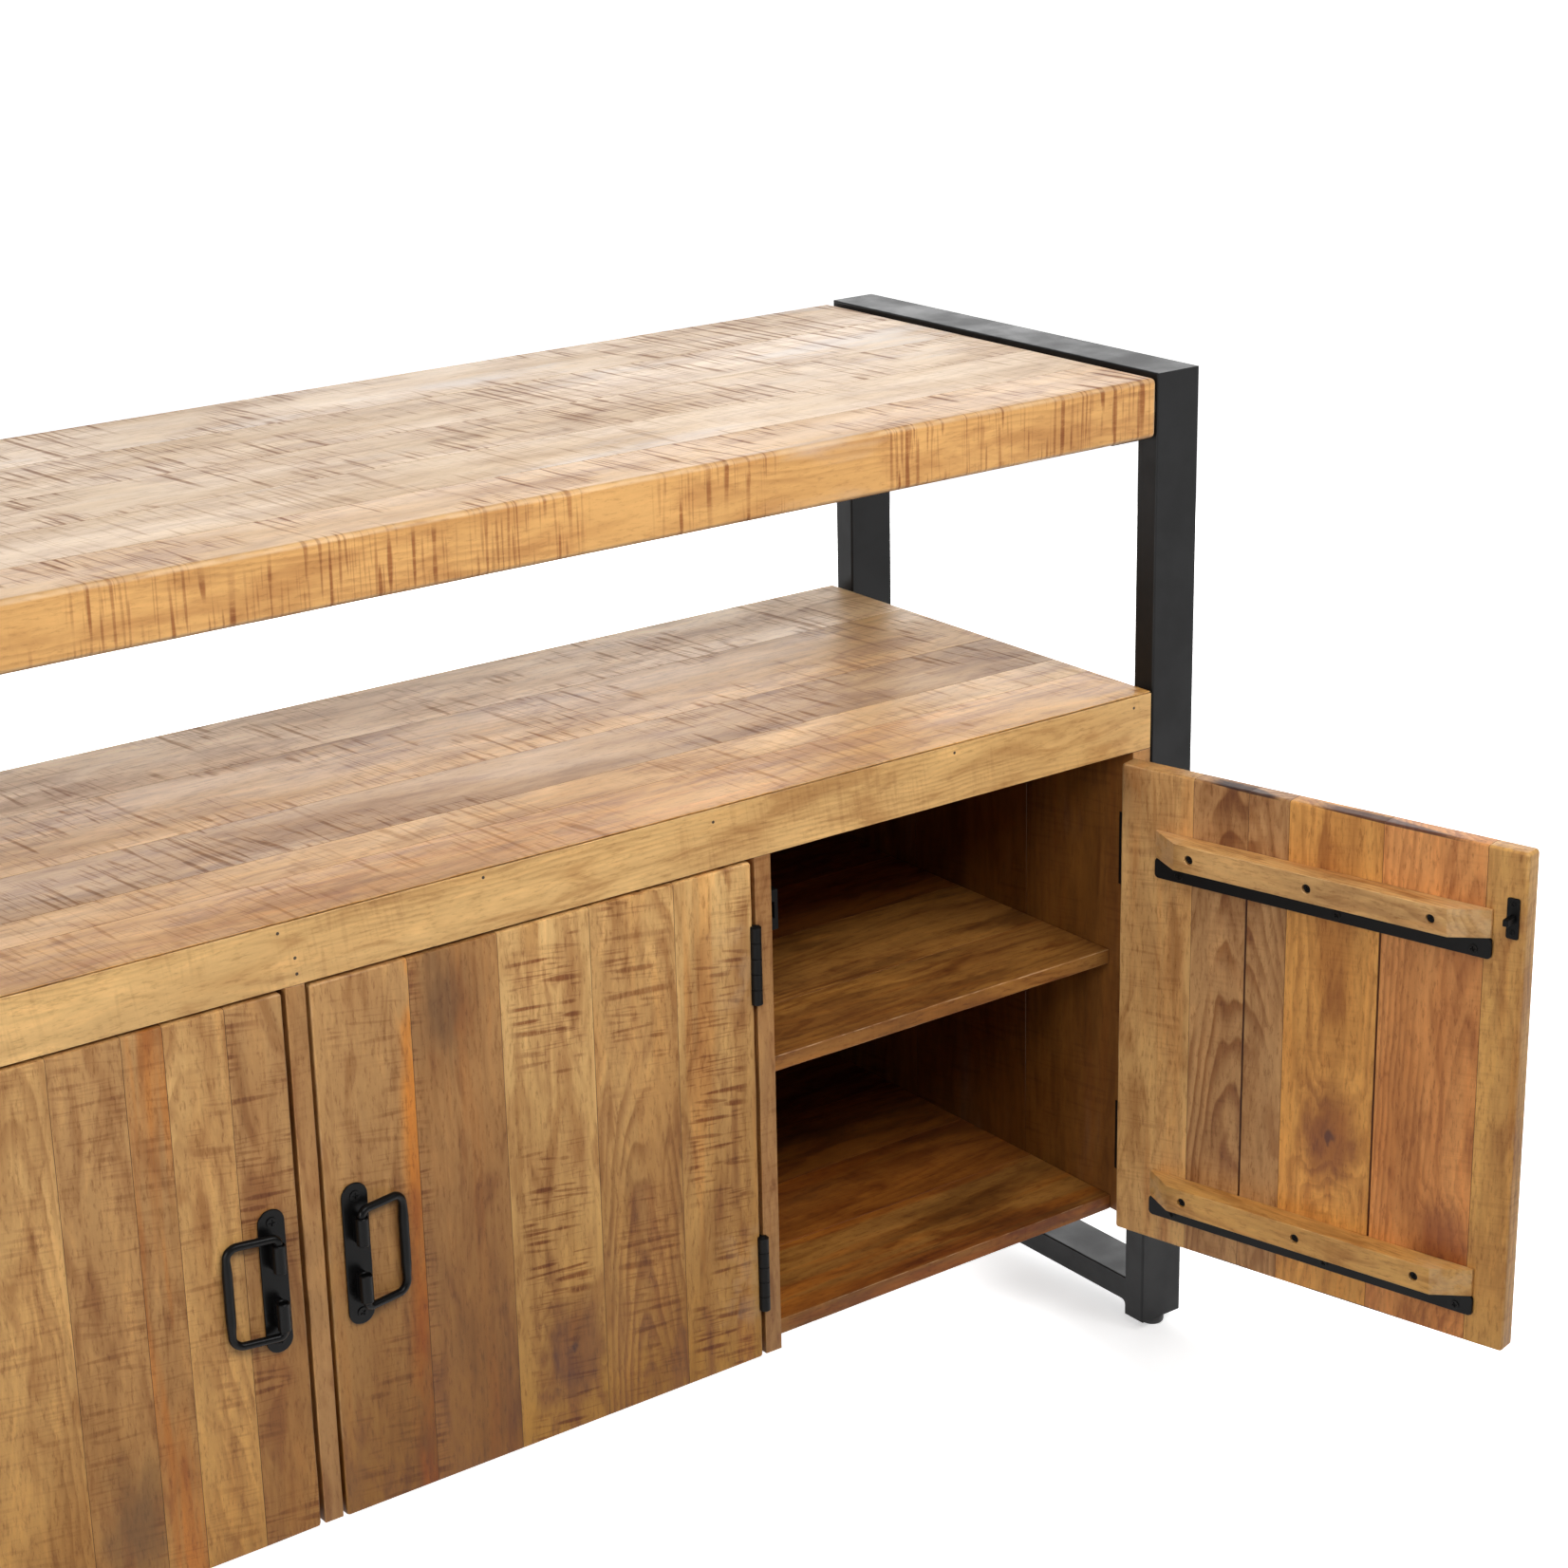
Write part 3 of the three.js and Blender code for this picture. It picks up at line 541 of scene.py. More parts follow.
def sharp_edges(solid, angle=28):
    limit = math.radians(angle)
    return [e for e in solid.edges if len(e.link_faces) == 2 and e.calc_face_angle() > limit]


def ease(solid, edges, width, segments):
    if edges and width > 0:
        bmesh.ops.bevel(
            solid, geom=edges, offset=width, segments=segments, profile=0.5,
            affect="EDGES", clamp_overlap=True)


def halved(solid, place, normal):
    """Cuts away what lies beyond a plane and closes the cut."""
    geometry = solid.verts[:] + solid.edges[:] + solid.faces[:]
    cut = bmesh.ops.bisect_plane(
        solid, geom=geometry, plane_co=place, plane_no=normal, clear_outer=True)
    rim = [e for e in cut["geom_cut"] if isinstance(e, bmesh.types.BMEdge)]
    bmesh.ops.holes_fill(solid, edges=rim, sides=0)


def cross_line(solid, x):
    """Cuts new edges where the plane at x meets the faces."""
    geometry = solid.verts[:] + solid.edges[:] + solid.faces[:]
    bmesh.ops.bisect_plane(solid, geom=geometry, plane_co=(x, 0, 0), plane_no=(1, 0, 0))


def ring_of(radius, count=24, x=0.0, y=0.0):
    turns = [2 * math.pi * i / count for i in range(count)]
    return [(x + radius * math.cos(t), y + radius * math.sin(t)) for t in turns]


def rounded_box(x0, x1, y0, y1, radius, count=6):
    loop = []
    corners = [(x1 - radius, y0 + radius, -90), (x1 - radius, y1 - radius, 0),
               (x0 + radius, y1 - radius, 90), (x0 + radius, y0 + radius, 180)]
    for x, y, start in corners:
        for i in range(count + 1):
            turn = math.radians(start + 90 * i / count)
            loop.append((x + radius * math.cos(turn), y + radius * math.sin(turn)))
    return loop


# ---- staved wood ----
def stave(to, tone, saw=0.25, stain=0.0, glow=0.0, figure=0.3, pith=(0, -60), tilt=0.02, knot=None,
          soot=None, streak=None):
    """One board of a glued panel: where it ends across the grain, and what its face is like.
    A knot, a sooty spot or an orange streak is given along and across from the board's corner,
    in millimetres."""
    return {"to": to, "tone": tone, "traits": (saw, stain, glow, figure), "pith": pith, "tilt": tilt,
            "spot": knot or soot or streak, "kind": 1.0 if knot else -1.0 if soot else 3.0}


def reordered(order):
    """Matrix that puts the named axes first, second and third: along, across and through."""
    rows = [[1.0 if "xyz"[i] == axis else 0.0 for i in range(3)] for axis in order]
    return Matrix(rows).to_4x4()


def near(value, places, reach):
    return any(abs(value - place) < reach for place in places)


def stave_solid(source, low, high, seams, arris, segments, grooves):
    """One board cut out of the panel's solid, with its arrises, and grooves where it has them."""
    solid = source.copy()
    if low is not None:
        halved(solid, (0, low, 0), (0, -1, 0))
    if high is not None:
        halved(solid, (0, high, 0), (0, 1, 0))

    def on_seam(edge):
        return any(all(abs(v.co.y - c) < TOUCH for v in edge.verts) for c in seams)

    ease(solid, [e for e in sharp_edges(solid) if not on_seam(e)], arris, segments)
    through = max(v.co.z for v in solid.verts)
    if grooves:
        for place in GROOVE_SPAN:
            cross_line(solid, place)
        bottom, top = GROOVE_SPAN
        grooved = [e for e in sharp_edges(solid) if on_seam(e)
                   and near(e.verts[0].co.y, grooves, TOUCH)
                   and all(abs(v.co.z - through) < TOUCH for v in e.verts)
                   and all(bottom - TOUCH < v.co.x < top + TOUCH for v in e.verts)]
        ease(solid, grooved, DOOR_GROOVE, 1)
    ease(solid, [e for e in sharp_edges(solid) if on_seam(e)], SEAM, 1)
    return solid


def cross_cut(solid, step):
    """Cross lines all along a board, so that its arrises can wander."""
    low = min(v.co.x for v in solid.verts)
    high = max(v.co.x for v in solid.verts)
    count = max(1, round((high - low) / step))
    for i in range(1, count):
        cross_line(solid, low + (high - low) * i / count)


def arris_share(normal):
    """0 on a flat face, 1 in the middle of a rounded arris."""
    lean = math.degrees(math.acos(min(1.0, max(abs(c) for c in normal))))
    return min(1.0, max(0.0, (lean - 8) / 30))


def spot_at(board, x, y):
    """How far a point of a board is from its knot, spot or streak, and which of them it has."""
    if not board["spot"]:
        return (1.0, 1.0, 0.0)
    return (x - board["spot"][0] * MM, y - board["spot"][1] * MM, board["kind"])


def toned(tone, stain_and_shade, stain_and_shade_share, cast):
    """A tone multiplied by a cast, and by the bottom's stain and painted shade as far as its share says."""
    return [c * s * (1 + (g - 1) * stain_and_shade_share) for c, g, s in zip(tone, (*stain_and_shade, 1.0), (*cast, 1.0))]


def staved(name, source, to_local, staves, material, seed=0.0, arris=0.0, segments=2,
           grooves=(), step=CUT_STEP, wander=WANDER, stain_and_shade=WHITE, shade_side=0, front=WHITE):
    """A panel of staves. to_local turns the room's axes into along, across and through the grain.
    The stain and shade is what the tone is multiplied by at the end where the grain's coordinate starts, a
    door's bottom, fading along the grain: partly stain, partly painted shade.
    The shade side, 1 for the high face and -1 for the low one, is darkened with painted shade for the
    cabinet's shadowed inside.
    Front is what the tone is multiplied by on the edge where the first board starts."""
    bmesh.ops.transform(source, matrix=to_local, verts=source.verts)
    bmesh.ops.recalc_face_normals(source, faces=source.faces)
    to_world = to_local.inverted()
    middle = sum((v.co.z for v in source.verts), 0.0) / len(source.verts)
    start = min(v.co.y for v in source.verts)
    base = min(v.co.x for v in source.verts)
    length = max(v.co.x for v in source.verts) - base
    through = max(v.co.z for v in source.verts)
    bounds = [None] + [s["to"] for s in staves[:-1]] + [None]
    points, faces = [], []
    grain, spots, tones, traits, wear_highlight_shade_values = [], [], [], [], []
    for i, board in enumerate(staves):
        low, high = bounds[i], bounds[i + 1]
        seams = [c for c in (low, high) if c is not None]
        solid = stave_solid(source, low, high, seams, arris, segments, grooves)
        cross_cut(solid, step)
        solid.normal_update()
        left = start if low is None else low
        right = max(v.co.y for v in source.verts) if high is None else high
        pith = Vector(((left + right) / 2 + board["pith"][0] * MM, middle + board["pith"][1] * MM))
        first = len(points)
        solid.verts.ensure_lookup_table()
        for v in solid.verts:
            x, y, z = v.co
            seam = near(y, seams, TOUCH)
            share = 0.0 if near(y, seams, 1.2 * DOOR_GROOVE) else arris_share(v.normal)
            lump = noise.noise(Vector((x * 21, y * 21, z * 21 + seed))) + 0.25
            worn_in = 0.0 if seam else wander * share * max(0.0, lump)
            sunk = near(y, grooves, 0.8 * DOOR_GROOVE) and 0.05 * MM < through - z < 2 * DOOR_GROOVE
            points.append(to_world @ (v.co - v.normal * worn_in))
            grain.append((x + 2.7 * i + seed, y - pith.x, z - pith.y + board["tilt"] * (x - base)))
            spots.append(spot_at(board, x - base, y - left))
            # Darker towards the start of the grain, a door's bottom: partly stain, partly painted shade.
            stain_and_shade_share = max(0.0, 1 - (x - base) / length) ** 1.3
            # Painted shade on the inner faces of the case.
            cast = INNER_SHADE if (z - middle) * shade_side > 0 else WHITE
            if y < start + 0.1 * MM:
                cast = front
            tones.append(toned(board["tone"], stain_and_shade, stain_and_shade_share, cast))
            traits.append(board["traits"])
            # Arrises get their share for wear and painted highlight; seams and groove bottoms get -1 for
            # dark lines and painted groove shade.
            wear_highlight_shade_values.append(-1.0 if seam or sunk else share)
        faces += placed_faces([[v.index for v in face.verts] for face in solid.faces], first, to_world)
        solid.free()
    source.free()
    fields = {"grain": ("FLOAT_VECTOR", grain), "spot": ("FLOAT_VECTOR", spots),
              "tone": ("FLOAT_COLOR", tones), "traits": ("FLOAT_COLOR", traits), "wear_highlight_shade": ("FLOAT", wear_highlight_shade_values)}
    return mesh_object(name, points, faces, material, fields)


def show(thing, body, slot_name, *nodes):
    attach(thing, body)
    if nodes:
        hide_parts(*nodes)


# ---- tabletop and cabinet ----
def planks(start, *rows):
    """Boards laid from a start, each row with a width in millimetres first. The last has the rest."""
    boards = []
    for width, *face in rows[:-1]:
        start += width * MM
        boards.append(stave(start, *face))
    return boards + [stave(*rows[-1])]


def tabletop(material):
    low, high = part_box("tabletop")
    boards = planks(
        low.y,
        (74.5, OAT, 1.05, 0.08, 0.0, 0.3, (10, -95), 0.01),
        (85, CREAM, 0.45, 0.1, 0.0, 0.15, (-30, -50), 0.03),
        (92, CREAM, 0.9, 0.2, 0.0, 0.15, (20, -70), 0.015),
        (98, CREAM, 0.9, 0.1, 0.0, 0.15, (-15, -90), 0.02),
        (None, CREAM, 0.9, 0.1, 0.0, 0.15, (0, -60), -0.02))
    panel = staved("tabletop_planks", block(low, high), reordered("xyz"), boards, material,
                   seed=0.4, arris=SLAB_ARRIS, segments=4, front=(1.06, 0.96, 0.76))
    show(panel, "carcass", "tabletop_wood", "tabletop")


def cabinet_top(material):
    low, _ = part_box("cabinet_top")
    boards = planks(
        low.y,
        (78, GOLD, 0.6, 0.35, 0.2, 0.3, (0, -80), 0.01),
        (47, STRAW, 0.6, 0.3, 0.1, 0.3, (10, -50), 0.02),
        (88, FAWN, 0.9, 0.2, 0.0, 0.25, (0, -65), -0.015),
        (125, STRAW, 0.9, 0.15, 0.0, 0.25, (-20, -60), 0.02),
        # The back board's pale tone is partly painted light, standing in for the bright sheen on the back
        # of the top.
        (None, PALE, 0.9, 0.0, 0.0, 0.2, (15, -75), 0.03))
    panel = staved("cabinet_top_planks", frame_solid("cabinet_top"), reordered("xyz"), boards, material,
                   seed=21.3, arris=0.5 * MM, wander=0.3 * MM)
    show(panel, "carcass", "cabinet_wood", "cabinet_top")


def front_fascia(material):
    board = [stave(None, STRAW, 0.35, 0.12, 0.05, 0.35, (-60, -18), 0.012)]
    panel = staved("fascia_board", frame_solid("front_fascia"), reordered("xzy"), board, material,
                   seed=43.1, arris=0.5 * MM, wander=0.3 * MM)
    show(panel, "carcass", "fascia_wood", "front_fascia")


def side_boards(low):
    return planks(low.y, (140, TAN, 0.4, 0.5, 0.3), (160, BROWN, 0.5, 0.4), (None, TAN, 0.5, 0.4))


def divider_boards(low):
    return planks(low.y, (150, BROWN, 0.5, 0.3, 0.1), (150, BROWN, 0.4, 0.2), (None, TAN, 0.4, 0.2))


def uprights(panel_wood, divider_wood):
    for node, seed, boards, material, slot_name, shade_side in (
            ("side_panel_left", 60.2, side_boards, panel_wood, "cabinet_wood", 1),
            ("side_panel_right", 75.9, side_boards, panel_wood, "cabinet_wood", -1),
            ("divider_left", 90.4, divider_boards, divider_wood, "divider_wood", 0),
            ("divider_right", 104.7, divider_boards, divider_wood, "divider_wood", 0)):
        low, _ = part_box(node)
        panel = staved(f"{node}_boards", frame_solid(node), reordered("zyx"), boards(low), material,
                       seed=seed, arris=BOARD_ARRIS, shade_side=shade_side)
        show(panel, "carcass", slot_name, node)


def inside_boards(material):
    low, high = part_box("bottom_panel")
    # The inner boards' dark tones are partly painted shade of the cabinet's inside.
    boards = planks(
        low.y,
        (110, UMBER_GOLD, 0.2, 0.8, 0.8, 0.6, (20, -25), 0.03),
        (100, COPPER, 0.2, 0.8, 0.5, 0.5, (0, -30), 0.03),
        (110, COPPER, 0.2, 1.0, 0.1, 0.6, (-20, -25), 0.04),
        (None, MAROON, 0.3, 0.9, 0.1, 0.4))
    panel = staved("bottom_boards", block(low, high), reordered("xyz"), boards, material,
                   seed=120.6, arris=BOARD_ARRIS)
    show(panel, "carcass", "interior_wood", "bottom_panel")
    low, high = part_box("back_panel")
    boards = planks(low.x, *[(137, TAN if i % 2 else BROWN, 0.4, 0.4) for i in range(8)],
                    (None, BROWN, 0.4, 0.4))
    panel = staved("back_boards", block(low, high), reordered("zxy"), boards, material,
                   seed=140.8, arris=BOARD_ARRIS, shade_side=-1)
    show(panel, "carcass", "interior_wood", "back_panel")
    for name, seed in (("left", 160.1), ("middle", 171.5), ("right", 183.3)):
        node = f"shelf_{name}"
        low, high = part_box(node)
        boards = planks(
            low.y,
            (90, UMBER_GOLD, 0.2, 0.8, 0.3, 0.6, (0, -22), 0.03),
            (120, UMBER_GOLD, 0.2, 1.0, 0.0, 0.8, (30, -20), 0.05),
            (100, COPPER, 0.2, 0.9, 0.1, 0.6, (-10, -25), 0.04),
            (None, MAROON, 0.3, 0.9, 0.0, 0.4))
        panel = staved(f"{node}_boards", block(low, high), reordered("xyz"), boards, material,
                       seed=seed, arris=1.2 * MM)
        show(panel, "carcass", "interior_wood", node)


# ---- doors ----
def joint_place(name):
    joint = next(j for j in frame["joints"] if j["name"] == name)
    return Vector(joint["pos_m"])


def door_matrix(name):
    """From the door as if closed, drawn about its hinge axis, to where it stands."""
    pivot = joint_place(f"door_{name}_swing")
    return Matrix.Translation((pivot.x, pivot.y, 0)) @ Matrix.Rotation(DOORS[name][1], 4, "Z")


def local_box(node, to_local):
    """Low and high corner of a CAD node in a frame of its own."""
    places = [to_local @ v.co for v in frame["nodes"][node].data.vertices]
    return (Vector([min(p[i] for p in places) for i in range(3)]),
            Vector([max(p[i] for p in places) for i in range(3)]))


def door_staves(name):
    if name == "left":
        return [
            stave(100 * MM, TAN, 0.6, 0.15, 0.0, 0.3, (0, -40), 0.02),
            stave(200.6 * MM, HONEY, 0.35, 0.1, 0.0, 0.5, (10, -40), 0.08),
            stave(257.6 * MM, TAN, 0.5, 0.3, 0.0, 0.3, (0, -50), 0.02, soot=(60, 40)),
            stave(289.6 * MM, TAN, 0.4, 0.1, 0.9, 0.2, (0, -50), 0.02),
            stave(338.6 * MM, HONEY, 0.5, 0.15, 0.1, 0.5, (-10, -30), 0.1),
            stave(None, TAN, 0.8, 0.2, 0.1, 0.2, (0, -70), 0.02),
        ]
    if name == "middle":
        return [
            stave(-317.4 * MM, TAN, 0.5, 0.4, 0.2, 0.15, (0, -90), 0.01, streak=(0, 77)),
            stave(-239.4 * MM, BROWN, 0.8, 0.35, 0.4, 0.25, (-60, -40), 0.03, soot=(395, 30)),
            stave(-156.4 * MM, STRAW, 1.0, 0.05, 0.0, 0.25, (0, -80), 0.01, knot=(72, 52)),
            stave(-77.4 * MM, HONEY, 0.75, 0.2, 0.15, 0.85, (5, -18), 0.12),
            stave(None, STRAW, 1.0, 0.2, 0.4, 0.25, (0, -60), 0.02),
        ]
    return [
        stave(-350 * MM, GOLD, 0.2, 0.1, 0.2, 0.4, (0, -50), 0.02),
        stave(-256.5 * MM, RUSSET, 0.15, 0.15, 0.15, 0.6, (-50, -14), 0.08, knot=(72, 24)),
        stave(-168 * MM, AMBER, 0.15, 0.15, 0.12, 0.5, (0, -14), 0.03, knot=(150, 40)),
        stave(-129 * MM, GREY_TAN, 0.2, 0.3, 0.0, 1.0, (30, -10), 0.14),
        stave(-75 * MM, GREY_TAN, 0.2, 0.25, 0.0, 1.0, (-20, -10), 0.14),
        stave(None, HONEY, 0.3, 0.2, 0.25, 0.2, (0, -60), 0.02, soot=(425, 75)),
    ]


def bail_line(direction):
    """Centre line of the drop handle about its own axis, and the rod's radius along it."""
    corners = [(0, EYE_SPANS[0][0] + 2 * MM), (0, BAIL_TOP), (BAIL_REACH, BAIL_TOP),
               (BAIL_REACH, BAIL_BOTTOM), (0, BAIL_BOTTOM), (0, EYE_SPANS[1][1] - 2 * MM)]
    bends = [0, BAIL_HOOK, BAIL_BEND, BAIL_BEND, BAIL_HOOK, 0]
    line = []
    for i, (corner, bend) in enumerate(zip(corners, bends)):
        here = Vector(corner)
        if not bend:
            line.append(here)
            continue
        start = here + (Vector(corners[i - 1]) - here).normalized() * bend
        end = here + (Vector(corners[i + 1]) - here).normalized() * bend
        centre = start + end - here
        for k in range(9):
            turn = math.pi / 2 * k / 8
            line.append(centre + (start - centre) * math.cos(turn) + (end - centre) * math.sin(turn))
    full = []
    for a, b in zip(line, line[1:]):
        count = max(1, round((b - a).length / (2.5 * MM)))
        full += [a.lerp(b, k / count) for k in range(count)]
    full.append(line[-1])
    radii = []
    for p in full:
        out = max(0.0, min(1.0, (p.x - BAIL_REACH + 3 * MM) / (3 * MM)))
        mid = max(0.0, min(1.0, (30 * MM - abs(p.y)) / (10 * MM)))
        radii.append(BAIL_ROD * (1 + 0.22 * out * mid))
    return [Vector((direction * p.x, 0, p.y)) for p in full], radii


def screw_part(radius):
    """Countersunk screw head seen end on, with its cross recess, facing +Z, top at z = 0."""
    arm = radius * 0.56
    half = radius * 0.14
    plus = [(half, half), (half, arm), (-half, arm), (-half, half), (-arm, half), (-arm, -half),
            (-half, -half), (-half, -arm), (half, -arm), (half, -half), (arm, -half), (arm, half)]
    head = flat_part([ring_of(radius), plus], 1.4 * MM, 0.25 * MM)
    neck = -1.3 * MM
    tip = -4 * MM
    shank = lathe_part([(0, tip), (radius * 0.6, tip), (radius * 0.8, neck), (0, neck)], 16)
    return [(head, Matrix.Translation((0, 0, -0.7 * MM))), (shank, Matrix.Identity(4))]


def facing(place, normal, spin=0.0):
    """Matrix that puts a part drawn facing +Z at a place, facing the other way named."""
    turn = Vector(normal).to_track_quat("Z", "Y").to_matrix().to_4x4()
    return Matrix.Translation(place) @ turn @ Matrix.Rotation(spin, 4, "Z")


def screws(stand, places, radius, way, spin, turn):
    """Parts of screws that face the given way in y, each turned a step on from the one before."""
    parts = []
    for i, place in enumerate(places):
        spot = stand @ facing(place, (0, way, 0), spin + turn * i)
        parts += [(mesh, spot @ own) for mesh, own in screw_part(radius)]
    return parts


def upright_plate(low, high, loops, edge):
    """Plate standing in the XZ plane between two depths. Loops are drawn in (x, z)."""
    thick = high - low
    stand = Matrix(((1, 0, 0, 0), (0, 0, 1, (low + high) / 2), (0, 1, 0, 0), (0, 0, 0, 1)))
    return flat_part(loops, thick, edge), stand


def eye_part(bottom, top):
    edge = 0.7 * MM
    bore = BAIL_ROD + 0.35 * MM
    outer = EYE_RADIUS
    return lathe_part([
        (bore, bottom + edge), (bore + edge, bottom), (outer - edge, bottom), (outer, bottom + edge),
        (outer, top - edge), (outer - edge, top), (bore + edge, top), (bore, top - edge)], closed=True)


def handle(name, iron):
    free = DOORS[name][0]
    stand = door_matrix(name)
    low, high = local_box(f"handle_plate_{name}", stand.inverted())
    centre = (low.x + high.x) / 2
    level = (low.z + high.z) / 2
    back = high.y
    face = back - PLATE_THICK
    axis = low.y + EYE_RADIUS
    half = (high.x - low.x) / 2
    outline = rounded_box(low.x, high.x, low.z, high.z, half * 0.96, 10)
    plate, place = upright_plate(face, back, [outline], 0.6 * MM)
    parts = [(plate, stand @ place)]
    for bottom, top in EYE_SPANS:
        eye = eye_part(level + bottom, level + top)
        parts.append((eye, stand @ Matrix.Translation((centre, axis, 0))))
        web = block_part((centre - 3.4 * MM, axis + 3.7 * MM, level + bottom + 0.4 * MM),
                         (centre + 3.4 * MM, face + 0.4 * MM, level + top - 0.4 * MM), 0.6 * MM)
        parts.append((web, stand))
    places = [(centre, face - 0.9 * MM, z) for z in (low.z + PLATE_SCREW_INSET, high.z - PLATE_SCREW_INSET)]
    parts += screws(stand, places, 4.2 * MM, -1, 0.5, 1)
    show(assembled(f"handle_backplate_{name}", parts, iron), f"door_{name}", "handle_iron",
         f"handle_plate_{name}")
    pivot = joint_place(f"handle_{name}_swing")
    lean = DOORS[name][1] - free * BAIL_LEAN
    place = Matrix.Translation(pivot) @ Matrix.Rotation(lean, 4, "Z")
    line, radii = bail_line(-free)
    bail = assembled(f"drop_handle_{name}", [(swept_part(line, radii), place)], iron)
    show(bail, f"handle_bail_{name}", "handle_iron", f"handle_bail_{name}")


def knuckle_part(bottom, top, radius, bore):
    edge = 0.35 * MM
    profile = [(bore, bottom), (radius - edge, bottom), (radius, bottom + edge),
               (radius, top - edge), (radius - edge, top), (bore, top)]
    return lathe_part(profile, closed=bore > 0)


def hinge_half(node, to_local, side, with_pin):
    """Parts of one half of a butt hinge, drawn about its pin."""
    low, high = local_box(node, to_local)
    bottom, top = low.z, high.z
    tall = (top - bottom) / HINGE_KNUCKLES
    near, far = sorted(side * face for face in HINGE_LEAF)
    leaf = block_part((near, HINGE_BARREL + 0.3 * MM, bottom), (far, high.y, top), 0.25 * MM, 1)
    parts = [leaf]
    for i in range(HINGE_KNUCKLES):
        if (i % 2 == 0) != with_pin:
            continue
        start = bottom + i * tall + 0.15 * MM
        end = bottom + (i + 1) * tall - 0.15 * MM
        parts.append(knuckle_part(start, end, HINGE_BARREL, 0 if with_pin else HINGE_BORE))
        root = HINGE_BARREL + 0.6 * MM
        parts.append(block_part((near, 3.2 * MM, start), (far, root, end), 0.2 * MM, 1))
    if with_pin:
        parts.append(knuckle_part(bottom + 1 * MM, top - 1 * MM, HINGE_PIN, 0))
        for z, way in ((top, 1), (bottom, -1)):
            dome = [(0, way * 1.4 * MM), (1.6 * MM, way * 1.1 * MM), (2.6 * MM, way * 0.4 * MM),
                    (2.7 * MM, way * -0.1 * MM)]
            parts.append(lathe_part([(r, z + h) for r, h in dome], 24))
    return parts


def hinges(name, iron):
    free, _ = DOORS[name]
    stand = door_matrix(name)
    still = Matrix.Translation(stand.translation)
    for level in ("lower", "upper"):
        node = f"hinge_{level}_door_leaf_{name}"
        parts = [(p, stand) for p in hinge_half(node, stand.inverted(), free, False)]
        show(assembled(f"hinge_{level}_moving_{name}", parts, iron), f"door_{name}", "hinge_iron", node)
        node = f"hinge_{level}_cabinet_leaf_{name}"
        parts = [(p, still) for p in hinge_half(node, still.inverted(), -free, True)]
        show(assembled(f"hinge_{level}_fixed_{name}", parts, iron), "carcass", "hinge_iron", node)


def batten(name, level, material, screw_metal):
    stand = door_matrix(name)
    node = f"batten_{level}_{name}"
    low, high = local_box(node, stand.inverted())
    centre = (low.x + high.x) / 2
    middle = (low.z + high.z) / 2
    holes = [ring_of(BATTEN_HOLE, 20, centre + x, middle) for x in BATTEN_SCREWS]
    outline = [(low.x, low.z), (high.x, low.z), (high.x, high.z), (low.x, high.z)]
    bar, place = upright_plate(low.y, high.y, [outline] + holes, 0.7 * MM)
    solid = bmesh.new()
    solid.from_mesh(bar)
    bmesh.ops.transform(solid, matrix=place, verts=solid.verts)
    bmesh.ops.remove_doubles(solid, verts=solid.verts, dist=TOUCH)
    bmesh.ops.recalc_face_normals(solid, faces=solid.faces)
    slope = high.y - low.y - BATTEN_TOE
    halved(solid, (low.x, low.y + BATTEN_TOE, 0), (-slope, BATTEN_BEVEL, 0))
    halved(solid, (high.x, low.y + BATTEN_TOE, 0), (slope, BATTEN_BEVEL, 0))
    bmesh.ops.transform(solid, matrix=stand, verts=solid.verts)
    tone = {"upper": HONEY, "lower": GOLD}[level]
    board = [stave(None, tone, 0.2, 0.45, 0.3, 0.5, (10, -20), 0.06)]
    seed = 300 + 11.3 * list(DOORS).index(name) + (5.7 if level == "upper" else 0.0)
    piece = staved(f"door_batten_{level}_{name}", solid, reordered("xzy") @ stand.inverted(), board,
                   material, seed=seed, step=60 * MM, wander=0.0)
    show(piece, f"door_{name}", "batten_wood", node)
    places = [(centre + x, high.y - 2.5 * MM, middle) for x in BATTEN_SCREWS]
    parts = screws(stand, places, 3.7 * MM, 1, 0.3, 0.7)
    show(assembled(f"batten_screws_{level}_{name}", parts, screw_metal), f"door_{name}", "strap_iron")


def strap(name, level, material, screw_metal):
    free, _ = DOORS[name]
    stand = door_matrix(name)
    node = f"strap_{level}_{name}"
    low, high = local_box(node, stand.inverted())
    centre = (low.x + high.x) / 2
    line = high.z - STRAP_SCREW_DROP
    places = [centre + free * x for x in STRAP_SCREWS]
    holes = [ring_of(STRAP_HOLE, 16, x, line) for x in places]
    outline = rounded_box(low.x, high.x, low.z, high.z, 4 * MM)
    plate, place = upright_plate(low.y, high.y, [outline] + holes, 0.5 * MM)
    show(assembled(f"door_strap_{level}_{name}", [(plate, stand @ place)], material),
         f"door_{name}", "strap_iron", node)
    parts = screws(stand, [(x, high.y + 0.7 * MM, line) for x in places], 3.9 * MM, 1, 0.0, 0.9)
    show(assembled(f"strap_screws_{level}_{name}", parts, screw_metal), f"door_{name}", "strap_iron")


